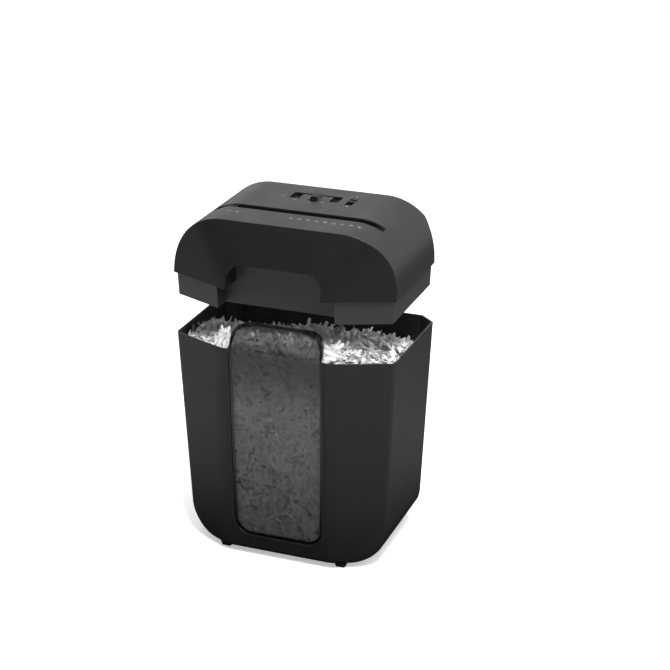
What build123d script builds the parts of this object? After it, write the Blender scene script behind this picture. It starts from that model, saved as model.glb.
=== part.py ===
from build123d import *
import math
import os

os.makedirs("parts", exist_ok=True)

# Paper shredder: an open-topped waste bin and the cutting head that stands on its rim. The head is
# modelled lifted straight up off the rim, as when the bin is emptied. Millimetres, +Z up, the front
# (window) faces -Y, and the origin is on the floor under the middle of the object.

# ---- driving dimensions ----

RIM_Z = 333.0  # top of the bin
LIFT = 94.0  # how far the head is raised off the rim
COVER_Z = RIM_Z + LIFT  # lower edge of the head's cover
COVER_TALL = 90.5  # cover, lower edge to flat top
TOP_Z = COVER_Z + COVER_TALL
SKIRT_TALL = 35.0  # part of the head that drops into the bin
FLOOR_Z = COVER_Z - SKIRT_TALL

FOOT_TALL = 8.0
BIN_WALL = 2.4
SHELL_WALL = 2.6  # cover and lower housing

# the outline both halves share: an octagon with a flat front, two angled front faces and cut rear corners
CENTRE_HALF = 86.0
SIDE_HALF = 169.6
REAR_HALF = 147.0
FRONT_Y = -109.3
FACET_Y = -75.3
SIDE_REAR_Y = 95.0
REAR_Y = 115.4
SIDE_TAPER = 0.047  # inward per mm down
END_TAPER = 0.019
SIDE_CORNER_R = 50.0  # lower left and right corners of the bin, seen from the front
FRONT_CREASE_R = 55.0  # soft upright creases either side of the window
BOTTOM_EDGE_R = 8.0
INNER_EDGE_R = 6.0

# smoked window and the tab that stands above the rim
WINDOW_HALF = 71.5
WINDOW_LOW_HALF = 69.0
WINDOW_DROP = 298.0  # rim to the window's lower edge
WINDOW_CORNER_R = 26.0
WINDOW_THICK = 1.8
WINDOW_GAP = 0.6
WINDOW_LEDGE = 3.0  # the shell overlaps the window by this behind it
LEDGE_THICK = 1.6
BEAD_WIDE = 3.0
BEAD_PROUD = 1.2
TAB_TALL = 37.5
TAB_LEAN = 16.0
TAB_CORNER_R = 23.0
TAB_LIP = 6.5  # the tab's edge turns back by this

# cover faces
SHOULDER_R = 80.0
COVER_HALF = 170.3
COVER_FACET_Y = -76.3  # front outline at the cover's sides
FACET_SLOPE = 0.41  # how the angled faces run back with distance from the middle
FACET_LEAN = 0.20  # and with height
CENTRE_TOP_Y = -79.3  # the centre face's top edge
CENTRE_LEAN = 0.51
COVER_REAR_Y = 116.5
REAR_LEAN = 0.075
CREASE_R = 110.0

# hand arch and the pocket behind it
ARCH_HALF = 72.0
ARCH_TALL = 35.5
ARCH_R = 24.0
POCKET_TALL = 41.5
PANEL_Y = -76.3
SKIRT_GAP = 3.6
SKIRT_NOTCH_HALF = 89.0

# paper slot
SLOT_Y = -14.3
SLOT_WIDE = 15.6
SLOT_LEFT = -97.5
SLOT_RIGHT = 131.0
TROUGH_LEFT = -131.0
THROAT_WIDE = 6.0

# cutting mechanism: every shaft runs along X
AXLE_Z = 465.0
CENTRES = 30.2
CUTTER_R = 17.0
CORE_R = 10.5
DISC_THICK = 3.8
DISC_PITCH = 8.0
DISC_COUNT = 28
HOOKS = 3
JOURNAL_R = 6.0
RUNNING_GAP = 0.05
PLATE_THICK = 2.0
LEFT_PLATE_X = -103.0
RIGHT_PLATE_X = 133.0
OUTER_PLATE_X = -137.0
REAR_AXLE = (SLOT_Y + CENTRES / 2, AXLE_Z)
FRONT_AXLE = (SLOT_Y - CENTRES / 2, AXLE_Z)
PINION_TEETH = 14
FINAL_TEETH = 40
SECOND_TEETH = 48
FIRST_TEETH = 60
TWIN_TEETH = 15
MESH_GAP = 0.15
PIN_R = 4.0
HUB_R = 6.5
MOTOR_R = 25.0
MOTOR_SHAFT_R = 2.5
MOTOR_LEFT = -101.0
MOTOR_RIGHT = -20.0
ROD_R = 4.0
ROD_END_R = 2.5
BUSH_R = 8.5
ROD_SPOTS = [(-52.0, 465.0), (-52.0, 425.0), (23.4, 465.0), (23.4, 425.0)]

# paper sensor flag
FLAG_X = 16.0
FLAG_Y = SLOT_Y + 11.0
FLAG_Z = AXLE_Z + CUTTER_R + 11.0

# controls on the top
MODE_X = -2.0
MODE_Y = 60.0
MODE_LONG = 76.0
MODE_WIDE = 26.0
MODE_DEEP = 5.5
MODE_TRAVEL = 12.0
LOCK_X = 53.5
LOCK_Y = 59.5
LOCK_LONG = 35.0
LOCK_WIDE = 11.0
LOCK_DEEP = 4.5
LAMP_SPOTS = [-62.5, -51.5]
LAMP_Y = 57.5

# safety plunger that feels the bin
PLUNGER_X = 150.0
PLUNGER_Y = 30.0
PLUNGER_R = 3.0

# cord inlet in the rear wall
GLAND_X = 96.0
GLAND_Z = COVER_Z + 24.0

# vents in the rear wall
VENT_COUNT = 9
VENT_X = -76.0
VENT_Z = COVER_Z + 42.0
VENT_PITCH = 9.0
VENT_TALL = 26.0
VENT_WIDE = 3.4

# housing screws
SCREW_SPOTS = [(x, y) for x in (-150.0, 150.0) for y in (-52.0, 82.0)]


# ---- helpers ----

def inset_polygon(points, distance):
    """The anticlockwise polygon with every side moved in by distance."""
    moved = []
    count = len(points)
    for i in range(count):
        (ax, ay), (bx, by), (cx, cy) = points[i - 1], points[i], points[(i + 1) % count]
        first = math.hypot(bx - ax, by - ay)
        second = math.hypot(cx - bx, cy - by)
        nx1, ny1 = -(by - ay) / first, (bx - ax) / first
        nx2, ny2 = -(cy - by) / second, (cx - bx) / second
        scale = distance / (1 + nx1 * nx2 + ny1 * ny2)
        moved.append((bx + (nx1 + nx2) * scale, by + (ny1 + ny2) * scale))
    return moved


def bin_outline(drop, inset=0.0):
    """The bin's octagon at drop below the rim."""
    side = drop * SIDE_TAPER
    end = drop * END_TAPER
    right = [
        (CENTRE_HALF, FRONT_Y + end),
        (SIDE_HALF - side, FACET_Y + end),
        (SIDE_HALF - side, SIDE_REAR_Y - end),
        (REAR_HALF - side, REAR_Y - end),
    ]
    return inset_polygon(right + [(-x, y) for x, y in reversed(right)], inset)


def skirt_outline(drop, inset=0.0):
    """The head's skirt at drop below the cover: the bin's octagon, smaller, with the front notch."""
    octagon = bin_outline(drop, SKIRT_GAP + inset)
    (ax, ay), (bx, by) = octagon[0], octagon[1]
    notch = SKIRT_NOTCH_HALF + inset
    notch_y = ay + (by - ay) * (notch - ax) / (bx - ax)
    right = [(notch, PANEL_Y + inset), (notch, notch_y)] + octagon[1:4]
    return right + [(-x, y) for x, y in reversed(right)]


def prism_between(low_points, low_z, high_points, high_z):
    """A straight-sided solid from one polygon to another with the same number of corners."""
    low = Plane.XY.offset(low_z) * Polygon(*low_points, align=None)
    high = Plane.XY.offset(high_z) * Polygon(*high_points, align=None)
    return loft([low, high], ruled=True)


def block(x_low, x_high, y_low, y_high, z_low, z_high):
    """A box between two corners."""
    middle = ((x_low + x_high) / 2, (y_low + y_high) / 2, (z_low + z_high) / 2)
    return Pos(*middle) * Box(x_high - x_low, y_high - y_low, z_high - z_low)


def rod_x(centre, radius, x_low, x_high):
    """A round bar along X; centre is (y, z)."""
    return Pos((x_low + x_high) / 2, *centre) * Rot(0, 90, 0) * Cylinder(radius, x_high - x_low)


def rod_z(x, y, radius, z_low, z_high):
    """An upright round bar."""
    return Pos(x, y, (z_low + z_high) / 2) * Cylinder(radius, z_high - z_low)


def rod_y(centre, radius, y_low, y_high):
    """A round bar along Y; centre is (x, z)."""
    x, z = centre
    return Pos(x, (y_low + y_high) / 2, z) * Rot(90, 0, 0) * Cylinder(radius, y_high - y_low)


def profile_x(points, x_low, x_high):
    """A (y, z) polygon carried along X."""
    face = Plane.YZ.offset(x_low) * Polygon(*points, align=None)
    return extrude(face, x_high - x_low)


def arch_prism(half, tall, corner, y_low, y_high):
    """An upright slab with two round top corners, carried along Y, standing on the cover's lower edge."""
    low = COVER_Z - 1.0
    high = COVER_Z + tall
    outline = Polygon((-half, low), (half, low), (half, high), (-half, high), align=None)
    outline = fillet(outline.vertices().sort_by(Axis.Y)[-2:], corner)
    return extrude(Plane.XZ.offset(-y_high) * outline, y_high - y_low)


# ---- the bin ----

def bin_body(inset):
    """The bin's tapered form, moved in by inset, with its large lower side corners."""
    low_z = FOOT_TALL + inset
    high_drop = -4.0 if inset else 0.0
    body = prism_between(
        bin_outline(RIM_Z - low_z, inset), low_z, bin_outline(high_drop, inset), RIM_Z - high_drop
    )
    creases = []
    for edge in body.edges():
        middle = edge.position_at(0.5)
        if middle.Y < FRONT_Y + 10.0 and abs(edge.tangent_at(0.5).Z) > 0.9:
            creases.append(edge)
    body = fillet(creases, FRONT_CREASE_R - inset)
    under = body.faces().sort_by(Axis.Z)[0]
    sides = under.edges().filter_by(Axis.Y)
    return fillet(sides, SIDE_CORNER_R - inset)


def soften_bottom(body, radius):
    """Round the front and rear bottom edges, from side corner to side corner."""
    under = body.faces().sort_by(Axis.Z)[0]
    ends = [edge for edge in under.edges() if abs(edge.tangent_at(0.5).X) > 0.5]
    return fillet(ends, radius)


def front_plane():
    """The bin's flat front: local x is +X, local y runs up the face, and the normal points outwards."""
    return Plane(origin=(0, FRONT_Y, RIM_Z), x_dir=(1, 0, 0), z_dir=(0, -1, -END_TAPER))


def window_outline(grow):
    """The window's outline on the front plane, from just above the rim down to its round corners."""
    top = 8.0
    outline = Polygon(
        (-WINDOW_LOW_HALF - grow, -WINDOW_DROP - grow),
        (WINDOW_LOW_HALF + grow, -WINDOW_DROP - grow),
        (WINDOW_HALF + grow, top),
        (-WINDOW_HALF - grow, top),
        align=None,
    )
    return fillet(outline.vertices().sort_by(Axis.Y)[:2], WINDOW_CORNER_R + grow)


def make_bin_shell():
    """One moulding: walls, floor, the stepped window opening with its raised bead, and the switch rib."""
    outer = soften_bottom(bin_body(0.0), BOTTOM_EDGE_R)
    inner = soften_bottom(bin_body(BIN_WALL), INNER_EDGE_R)
    shell = outer - inner
    face = front_plane()
    below_rim = block(-200, 200, -200, 0, 0, RIM_Z)
    bead = window_outline(WINDOW_GAP + BEAD_WIDE) - window_outline(0.0)
    shell += extrude(face.offset(-1.0) * bead, BEAD_PROUD + 1.0) & below_rim
    ledge = window_outline(WINDOW_GAP + BEAD_WIDE) - window_outline(-WINDOW_LEDGE)
    shell += extrude(face.offset(-BIN_WALL - LEDGE_THICK) * ledge, LEDGE_THICK + 1.0) & below_rim
    shell -= extrude(face.offset(-WINDOW_THICK - 0.2) * window_outline(WINDOW_GAP), 12.0)
    shell -= extrude(face.offset(-12.0) * window_outline(-WINDOW_LEDGE), 24.0)
    wall_x = SIDE_HALF - SIDE_TAPER * (LIFT / 2) - 1.5
    rib_top = FLOOR_Z - 6.0 - LIFT
    rib = Plane.XZ.offset(-(PLUNGER_Y + 7.0)) * Polygon(
        (wall_x, rib_top), (PLUNGER_X - 6.0, rib_top), (PLUNGER_X - 6.0, rib_top - 5.0),
        (wall_x, rib_top - 34.0), align=None,
    )
    shell += extrude(rib, 14.0) & prism_between(
        bin_outline(90.0, 1.5), RIM_Z - 90.0, bin_outline(20.0, 1.5), RIM_Z - 20.0
    )
    for x in (-92.0, 92.0):
        for y in (-84.0, 86.0):
            shell -= rod_z(x, y, 3.05, 0.0, FOOT_TALL + BIN_WALL + 1.0)
    return shell


def make_window():
    """The smoked window: one sheet, bent back above the rim to make the tab."""
    low_z = RIM_Z - WINDOW_DROP
    crease_z = RIM_Z + 1.0
    outer_y = FRONT_Y + 0.3
    back = WINDOW_THICK - 0.3
    drop_y = (crease_z - low_z + 10.0) * END_TAPER
    strip = Polygon(
        (outer_y + drop_y, low_z - 10.0), (outer_y + drop_y + back, low_z - 10.0),
        (outer_y + back, crease_z), (outer_y + TAB_LEAN + back, RIM_Z + TAB_TALL + 1.0),
        (outer_y + TAB_LEAN, RIM_Z + TAB_TALL + 1.0), (outer_y, crease_z), align=None,
    )
    bend = [v for v in strip.vertices() if abs(v.Y - crease_z) < 0.1]
    front_bend, back_bend = sorted(bend, key=lambda v: v.X)
    strip = fillet(front_bend, 9.0)
    back_bend = [v for v in strip.vertices() if abs(v.Y - crease_z) < 0.1 and v.X > outer_y + 1.0]
    strip = fillet(back_bend, 8.0)
    sheet = extrude(Plane.YZ * strip, 100.0, both=True)
    outline = Polygon(
        (-WINDOW_LOW_HALF, low_z), (WINDOW_LOW_HALF, low_z), (WINDOW_HALF, RIM_Z),
        (WINDOW_HALF - 0.7, RIM_Z + TAB_TALL), (-WINDOW_HALF + 0.7, RIM_Z + TAB_TALL),
        (-WINDOW_HALF, RIM_Z), align=None,
    )
    by_height = outline.vertices().sort_by(Axis.Y)
    outline = fillet(by_height[:2], WINDOW_CORNER_R)
    outline = fillet(outline.vertices().sort_by(Axis.Y)[-2:], TAB_CORNER_R)
    tab_y = outer_y + TAB_LEAN
    lip_low_z = RIM_Z + 8.0
    lip_low_y = outer_y + TAB_LEAN * (lip_low_z - crease_z) / TAB_TALL
    lip = Polygon(
        (lip_low_y + 1.0, lip_low_z), (lip_low_y + back, lip_low_z - 3.0),
        (lip_low_y + TAB_LIP + 4.0, lip_low_z + 8.0), (tab_y + TAB_LIP, RIM_Z + TAB_TALL + 1.0),
        (tab_y + 1.0, RIM_Z + TAB_TALL + 1.0), align=None,
    )
    ring = outline - offset(outline, -WINDOW_THICK)
    lip = extrude(Plane.YZ * lip, 100.0, both=True) & extrude(Plane.XZ * ring, 200.0, both=True)
    return (sheet & extrude(Plane.XZ * outline, 200.0, both=True)) + lip


def make_feet():
    """Four moulded feet, each a tapered pad with a peg in the bin's floor."""
    feet = []
    for x in (-92.0, 92.0):
        for y in (-84.0, 86.0):
            pad = loft([
                Pos(x, y, 0) * RectangleRounded(15.0, 12.0, 3.0),
                Pos(x, y, FOOT_TALL) * RectangleRounded(19.0, 15.0, 4.0),
            ])
            feet.append(pad + rod_z(x, y, 3.0, FOOT_TALL - 1.0, FOOT_TALL + BIN_WALL))
    return feet


# ---- the head's shells ----

def cover_form(inset):
    """The cover's outer form, moved in by inset: round shoulders carried along Y, then cut by planes, with
    the two creases of the front rounded softly."""
    half = COVER_HALF - inset
    radius = SHOULDER_R - inset
    bend_z = TOP_Z - SHOULDER_R
    bend_x = COVER_HALF - SHOULDER_R
    slant = math.sqrt(0.5) * radius
    low = COVER_Z if not inset else COVER_Z - 10.0
    with BuildSketch(Plane.XZ) as section:
        with BuildLine():
            Line((-half, low), (half, low))
            Line((half, low), (half, bend_z))
            ThreePointArc((half, bend_z), (bend_x + slant, bend_z + slant), (bend_x, TOP_Z - inset))
            Line((bend_x, TOP_Z - inset), (-bend_x, TOP_Z - inset))
            ThreePointArc((-bend_x, TOP_Z - inset), (-bend_x - slant, bend_z + slant), (-half, bend_z))
            Line((-half, bend_z), (-half, low))
        make_face()
    form = extrude(section.sketch, 160.0, both=True)
    cuts = [
        ((0, CENTRE_TOP_Y, TOP_Z), (0, -1, CENTRE_LEAN)),
        ((0, COVER_REAR_Y, COVER_Z), (0, 1, REAR_LEAN)),
    ]
    for side in (-1, 1):
        cuts.append(((side * COVER_HALF, COVER_FACET_Y, COVER_Z), (side * FACET_SLOPE, -1, FACET_LEAN)))
        cuts.append(((side * COVER_HALF, SIDE_REAR_Y, COVER_Z), (side * 1.0, 1.08, 0.06)))
    for point, normal in cuts:
        outward = Vector(*normal).normalized()
        plane = Plane(origin=Vector(*point) - outward * inset, z_dir=outward)
        form = split(form, bisect_by=plane, keep=Keep.BOTTOM)
    creases = []
    for edge in form.edges():
        middle = edge.position_at(0.5)
        straight = edge.geom_type == GeomType.LINE
        rising = abs(edge.tangent_at(0.5).Z) > 0.4
        if straight and rising and middle.Y < -60 and 30 < abs(middle.X) < 140:
            creases.append(edge)
    return fillet(creases, CREASE_R - inset)


def soften_cover(form):
    """Round the edges at the rear and round the top of the front."""
    rims = []
    for edge in form.edges():
        middle = edge.position_at(0.5)
        if middle.Z > COVER_Z + 2 and middle.Y > 90:
            rims.append(edge)
    form = fillet(rims, 3.0)
    fronts = []
    for edge in form.edges():
        middle = edge.position_at(0.5)
        if middle.Z > TOP_Z - 55 and middle.Y < -60 and abs(edge.tangent_at(0.5).X) > 0.3:
            fronts.append(edge)
    return fillet(fronts, 1.2)


def make_cover():
    """The top moulding: outer skin, hand pocket, slot trough, control recesses, vents and screw bosses."""
    outer = cover_form(0.0)
    solid = soften_cover(outer)
    cover = solid - cover_form(SHELL_WALL)

    pocket = arch_prism(ARCH_HALF + 2.4, POCKET_TALL + 2.4, ARCH_R + 2.4, -130.0, PANEL_Y - 0.8)
    cover += (pocket & solid)
    for side in (-1, 1):
        x_near, x_far = sorted((side * (ARCH_HALF + 1.0), side * (SKIRT_NOTCH_HALF + 4.0)))
        cover += block(x_near, x_far, -130.0, PANEL_Y - 0.8, COVER_Z, COVER_Z + 2.4) & solid
    cover -= arch_prism(ARCH_HALF, POCKET_TALL, ARCH_R, FRONT_Y + 4.0, PANEL_Y) - cover_front_skin()
    cover -= arch_prism(ARCH_HALF, ARCH_TALL, ARCH_R, -130.0, PANEL_Y)

    recess = block(MODE_X - MODE_LONG / 2 - 2, MODE_X + MODE_LONG / 2 + 2, MODE_Y - MODE_WIDE / 2 - 2,
                   MODE_Y + MODE_WIDE / 2 + 2, TOP_Z - MODE_DEEP - 2.2, TOP_Z - 1.0)
    recess += block(LOCK_X - LOCK_WIDE / 2 - 2, LOCK_X + LOCK_WIDE / 2 + 2, LOCK_Y - LOCK_LONG / 2 - 2,
                    LOCK_Y + LOCK_LONG / 2 + 2, TOP_Z - LOCK_DEEP - 2.2, TOP_Z - 1.0)
    cover += recess
    for x, y in SCREW_SPOTS:
        upper = rod_z(x, y, 5.0, COVER_Z, TOP_Z) & solid
        lower = rod_z(x, y, 5.0, FLOOR_Z + SHELL_WALL, COVER_Z + 0.5)
        cover += upper + lower
        cover -= rod_z(x, y, 1.6, FLOOR_Z, FLOOR_Z + 24.0)

    slot_y = (SLOT_Y - SLOT_WIDE / 2, SLOT_Y + SLOT_WIDE / 2)
    cover -= block(TROUGH_LEFT, SLOT_RIGHT, *slot_y, COVER_Z + 60.0, TOP_Z + 1.0)
    mode = Pos(MODE_X, MODE_Y, TOP_Z - MODE_DEEP) * RectangleRounded(MODE_LONG, MODE_WIDE, 3.0)
    cover -= extrude(mode, MODE_DEEP + 1.0)
    cover -= block(MODE_X - MODE_TRAVEL - 4.0, MODE_X + MODE_TRAVEL + 4.0, MODE_Y - 2.6, MODE_Y + 2.6,
                   TOP_Z - MODE_DEEP - 4.0, TOP_Z)
    scoop = Pos(MODE_X, MODE_Y - MODE_WIDE / 2 - 2.0, TOP_Z + 19.5) * Sphere(21.5)
    cover -= scoop
    lock = Pos(LOCK_X, LOCK_Y, TOP_Z - LOCK_DEEP) * RectangleRounded(LOCK_WIDE, LOCK_LONG, 1.6)
    cover -= extrude(lock, LOCK_DEEP + 1.0)
    cover -= block(LOCK_X - 1.6, LOCK_X + 1.6, LOCK_Y - 13.0, LOCK_Y + 13.0, TOP_Z - LOCK_DEEP - 4.0, TOP_Z)
    for x in LAMP_SPOTS:
        cover -= extrude(Pos(x, LAMP_Y, TOP_Z - 4.0) * RectangleRounded(6.2, 3.2, 1.0), 6.0)
    rear = Plane.XZ.offset(-(COVER_REAR_Y + 5.0))
    for i in range(VENT_COUNT):
        vent = SlotOverall(VENT_TALL, VENT_WIDE, rotation=90)
        cover -= extrude(rear * Pos(VENT_X + VENT_PITCH * i, VENT_Z) * vent, 20.0)
    cover -= rod_y((GLAND_X, GLAND_Z), 6.2, COVER_REAR_Y - 20.0, COVER_REAR_Y + 5.0)
    return cover


def cover_front_skin():
    """The slice of the cover's form that is its front wall, kept when the pocket is hollowed out."""
    return cover_form(0.0) - cover_form(SHELL_WALL)


def make_lower_housing():
    """The tray that carries the mechanism: skirt, recessed panel, floor with the outlet, screw seats."""
    low, high = FLOOR_Z, COVER_Z - 0.1
    wall = 2.5
    outer = prism_between(skirt_outline(SKIRT_TALL), low, skirt_outline(0.0), high)
    inner = prism_between(
        skirt_outline(SKIRT_TALL, wall), low + SHELL_WALL, skirt_outline(-1.0, wall), high + 1.0
    )
    tray = outer - inner
    tray += block(-SKIRT_NOTCH_HALF + 1.5, SKIRT_NOTCH_HALF - 1.5, PANEL_Y, PANEL_Y + wall,
                  low, COVER_Z + POCKET_TALL + 4.0)
    outlet = (SLOT_LEFT + 1.0, SLOT_RIGHT - 1.0, FRONT_AXLE[0] - 20.0, REAR_AXLE[0] + 18.0)
    chute = block(outlet[0] - 2, outlet[1] + 2, outlet[2] - 2, outlet[3] + 2, low, low + 20.0)
    tray += chute
    tray -= block(*outlet, low - 5.0, low + 30.0)
    for x, y in SCREW_SPOTS:
        tray -= rod_z(x, y, 1.7, low - 1.0, low + SHELL_WALL + 1.0)
        tray -= rod_z(x, y, 3.4, low - 1.0, low + 1.5)
    tray -= rod_z(PLUNGER_X, PLUNGER_Y, PLUNGER_R + 0.1, low - 1.0, low + SHELL_WALL + 1.0)
    return tray


def make_throat():
    """The paper guide: a funnel in the cover's trough down to a narrow throat over the cutters."""
    half_top = SLOT_WIDE / 2 - 0.2
    mouth = half_top - 1.0
    half = THROAT_WIDE / 2
    low = AXLE_Z + CUTTER_R + 2.0
    high = TOP_Z - 1.0
    neck = TOP_Z - 16.0
    straight = TOP_Z - 8.5
    under = TOP_Z - 10.5
    outer = profile_x(
        [(SLOT_Y - half - 2.4, low), (SLOT_Y + half + 2.4, low), (SLOT_Y + half + 2.4, neck),
         (SLOT_Y + half_top, under), (SLOT_Y + half_top, high), (SLOT_Y - half_top, high),
         (SLOT_Y - half_top, under), (SLOT_Y - half - 2.4, neck)],
        SLOT_LEFT + 0.2, SLOT_RIGHT - 0.2,
    )
    funnel = profile_x(
        [(SLOT_Y - half, low - 1), (SLOT_Y + half, low - 1), (SLOT_Y + half, neck),
         (SLOT_Y + mouth, straight), (SLOT_Y + mouth, TOP_Z + 1), (SLOT_Y - mouth, TOP_Z + 1),
         (SLOT_Y - mouth, straight), (SLOT_Y - half, neck)],
        SLOT_LEFT + 2.2, SLOT_RIGHT - 2.0,
    )
    guide = outer - funnel
    ramp = Plane.XZ.offset(-(SLOT_Y + half_top)) * Polygon(
        (SLOT_LEFT + 0.4, TOP_Z - 16.0), (SLOT_LEFT + 0.4, TOP_Z - 5.0), (-106.0, TOP_Z - 1.4),
        (-117.0, TOP_Z - 1.4), (-119.0, TOP_Z - 9.0), (TROUGH_LEFT + 0.2, TOP_Z - 18.0),
        (TROUGH_LEFT + 0.2, TOP_Z - 23.0), align=None,
    )
    guide += extrude(ramp, 2 * half_top)
    guide &= cover_form(0.7)
    flag_slot = block(FLAG_X - 3.0, FLAG_X + 3.0, SLOT_Y + 1.0, SLOT_Y + half + 4.0, low + 1.0, neck - 3.0)
    guide -= flag_slot
    for side in (-1, 1):
        x_near, x_far = sorted((FLAG_X + side * 3.2, FLAG_X + side * 5.4))
        guide += block(x_near, x_far, SLOT_Y + half + 2.0, FLAG_Y + 3.4, FLAG_Z - 3.4, FLAG_Z + 3.4)
    guide -= rod_x((FLAG_Y, FLAG_Z), 1.5, FLAG_X - 6.0, FLAG_X + 6.0)
    return guide


def make_flag():
    """The paper sensor: a hub on a pin, an arm across the throat, and a tail that works the microswitch."""
    hub = rod_x((FLAG_Y, FLAG_Z), 3.0, FLAG_X - 2.6, FLAG_X + 2.6)
    tip_y = SLOT_Y - 1.6
    arm = profile_x(
        [(FLAG_Y, FLAG_Z - 2.2), (FLAG_Y, FLAG_Z + 1.2), (tip_y, FLAG_Z - 3.0), (tip_y, FLAG_Z - 5.2)],
        FLAG_X - 1.5, FLAG_X + 1.5,
    )
    tail = block(FLAG_X - 1.5, FLAG_X + 1.5, FLAG_Y, FLAG_Y + 11.0, FLAG_Z - 1.0, FLAG_Z + 1.0)
    return hub + arm + tail - rod_x((FLAG_Y, FLAG_Z), 1.25 + RUNNING_GAP, FLAG_X - 3.0, FLAG_X + 3.0)


# ---- gears and cutters ----

def tooth_flank(module, teeth, radius):
    """Half the tooth's angle at radius on a 20 degree involute, thinned for running clearance."""
    pressure = math.radians(20.0)
    pitch_r = module * teeth / 2
    base_r = pitch_r * math.cos(pressure)
    at_pitch = math.pi / (2 * teeth) * 0.90
    inv_pitch = math.tan(pressure) - pressure
    if radius <= base_r:
        return at_pitch + inv_pitch - 0.12 * (base_r - radius) / base_r
    angle = math.acos(base_r / radius)
    return at_pitch + inv_pitch - (math.tan(angle) - angle)


def gear(module, teeth, centre, phase, x_low, x_high, bore):
    """A spur gear about X. phase is the angle of one tooth from +Y towards +Z."""
    pitch_r = module * teeth / 2
    root_r = pitch_r - 1.25 * module
    tip_r = pitch_r + 0.9 * module
    base_r = pitch_r * math.cos(math.radians(20.0))
    start_r = max(base_r, root_r + 0.05 * module)
    radii = [root_r] + [start_r + (tip_r - start_r) * step / 4 for step in range(5)]
    points = []
    for tooth in range(teeth):
        middle = phase + 2 * math.pi * tooth / teeth
        for side, order in ((-1, radii), (1, radii[::-1])):
            for radius in order:
                angle = middle + side * tooth_flank(module, teeth, radius)
                points.append((radius * math.cos(angle), radius * math.sin(angle)))
    wheel = Polygon(*points, align=None) - Circle(bore)
    return Pos(0, *centre) * extrude(Plane.YZ.offset(x_low) * wheel, x_high - x_low)


def meshed(phase, teeth, next_teeth, direction):
    """The next gear's phase, so that its gap faces the first gear's tooth along direction."""
    return direction + math.pi - (phase - direction) * teeth / next_teeth + math.pi / next_teeth


def away(centre, distance, degrees):
    """The point at distance from centre in the given direction of the YZ plane."""
    angle = math.radians(degrees)
    return (centre[0] + distance * math.cos(angle), centre[1] + distance * math.sin(angle))


def centre_distance(module, teeth, next_teeth):
    """Centre distance of a meshing pair."""
    return module * (teeth + next_teeth) / 2 + MESH_GAP


FINAL_M, SECOND_M, FIRST_M, TWIN_M = 1.5, 1.25, 1.0, 2.0
SECOND_ANGLE, FIRST_ANGLE, MOTOR_ANGLE = -10.0, 18.0, -115.0
SECOND_AXLE = away(REAR_AXLE, centre_distance(FINAL_M, FINAL_TEETH, PINION_TEETH), SECOND_ANGLE)
FIRST_AXLE = away(SECOND_AXLE, centre_distance(SECOND_M, SECOND_TEETH, PINION_TEETH), FIRST_ANGLE)
MOTOR_AXLE = away(FIRST_AXLE, centre_distance(FIRST_M, FIRST_TEETH, PINION_TEETH), MOTOR_ANGLE)
FINAL_PHASE = 0.0
PINION_B_PHASE = meshed(FINAL_PHASE, FINAL_TEETH, PINION_TEETH, math.radians(SECOND_ANGLE))
SECOND_PHASE = 0.0
PINION_A_PHASE = meshed(SECOND_PHASE, SECOND_TEETH, PINION_TEETH, math.radians(FIRST_ANGLE))
FIRST_PHASE = 0.0
MOTOR_PHASE = meshed(FIRST_PHASE, FIRST_TEETH, PINION_TEETH, math.radians(MOTOR_ANGLE))
TWIN_PHASE = 0.0
FRONT_TWIN_PHASE = meshed(TWIN_PHASE, TWIN_TEETH, TWIN_TEETH, math.pi)


def make_second_gear():
    """The reduction wheel next to the final gear: its pinion, its wheel and one hub."""
    bore = PIN_R + RUNNING_GAP
    second = gear(FINAL_M, PINION_TEETH, SECOND_AXLE, PINION_B_PHASE, -124.0, -114.5, bore)
    second += gear(SECOND_M, SECOND_TEETH, SECOND_AXLE, SECOND_PHASE, -132.0, -125.6, bore)
    return second + make_gear_hub(SECOND_AXLE)


def make_first_gear():
    """The reduction wheel next to the motor: its wheel, its pinion and one hub."""
    bore = PIN_R + RUNNING_GAP
    first = gear(SECOND_M, PINION_TEETH, FIRST_AXLE, PINION_A_PHASE, -132.6, -125.0, bore)
    first += gear(FIRST_M, FIRST_TEETH, FIRST_AXLE, FIRST_PHASE, -112.0, -106.0, bore)
    return first + make_gear_hub(FIRST_AXLE)


def make_gear_hub(axle):
    """The tube that joins a reduction wheel to its pinion and spaces both between the plates."""
    return rod_x(axle, HUB_R, -134.5, -103.5) - rod_x(axle, PIN_R + RUNNING_GAP, -140.0, -100.0)


def make_cutter(centre, first_x, left_end, turn):
    """A cutter shaft: a core with hooked discs, each turned a little from the last, and two journals."""
    cutter = rod_x(centre, CORE_R, -98.5, SLOT_RIGHT)
    cutter += rod_x(centre, JOURNAL_R, left_end, RIGHT_PLATE_X + 4.0)
    with BuildSketch() as disc_sketch:
        Circle(CUTTER_R)
        with PolarLocations(CUTTER_R, HOOKS):
            Polygon((1.0, 0.0), (-3.2, 0.4), (1.0, 5.2), align=None, mode=Mode.SUBTRACT)
    discs = []
    for i in range(DISC_COUNT):
        face = Plane.YZ.offset(first_x + DISC_PITCH * i) * Rot(0, 0, turn * i) * disc_sketch.sketch
        discs.append(Pos(0, *centre) * extrude(face, DISC_THICK))
    return cutter.fuse(*discs)


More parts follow.
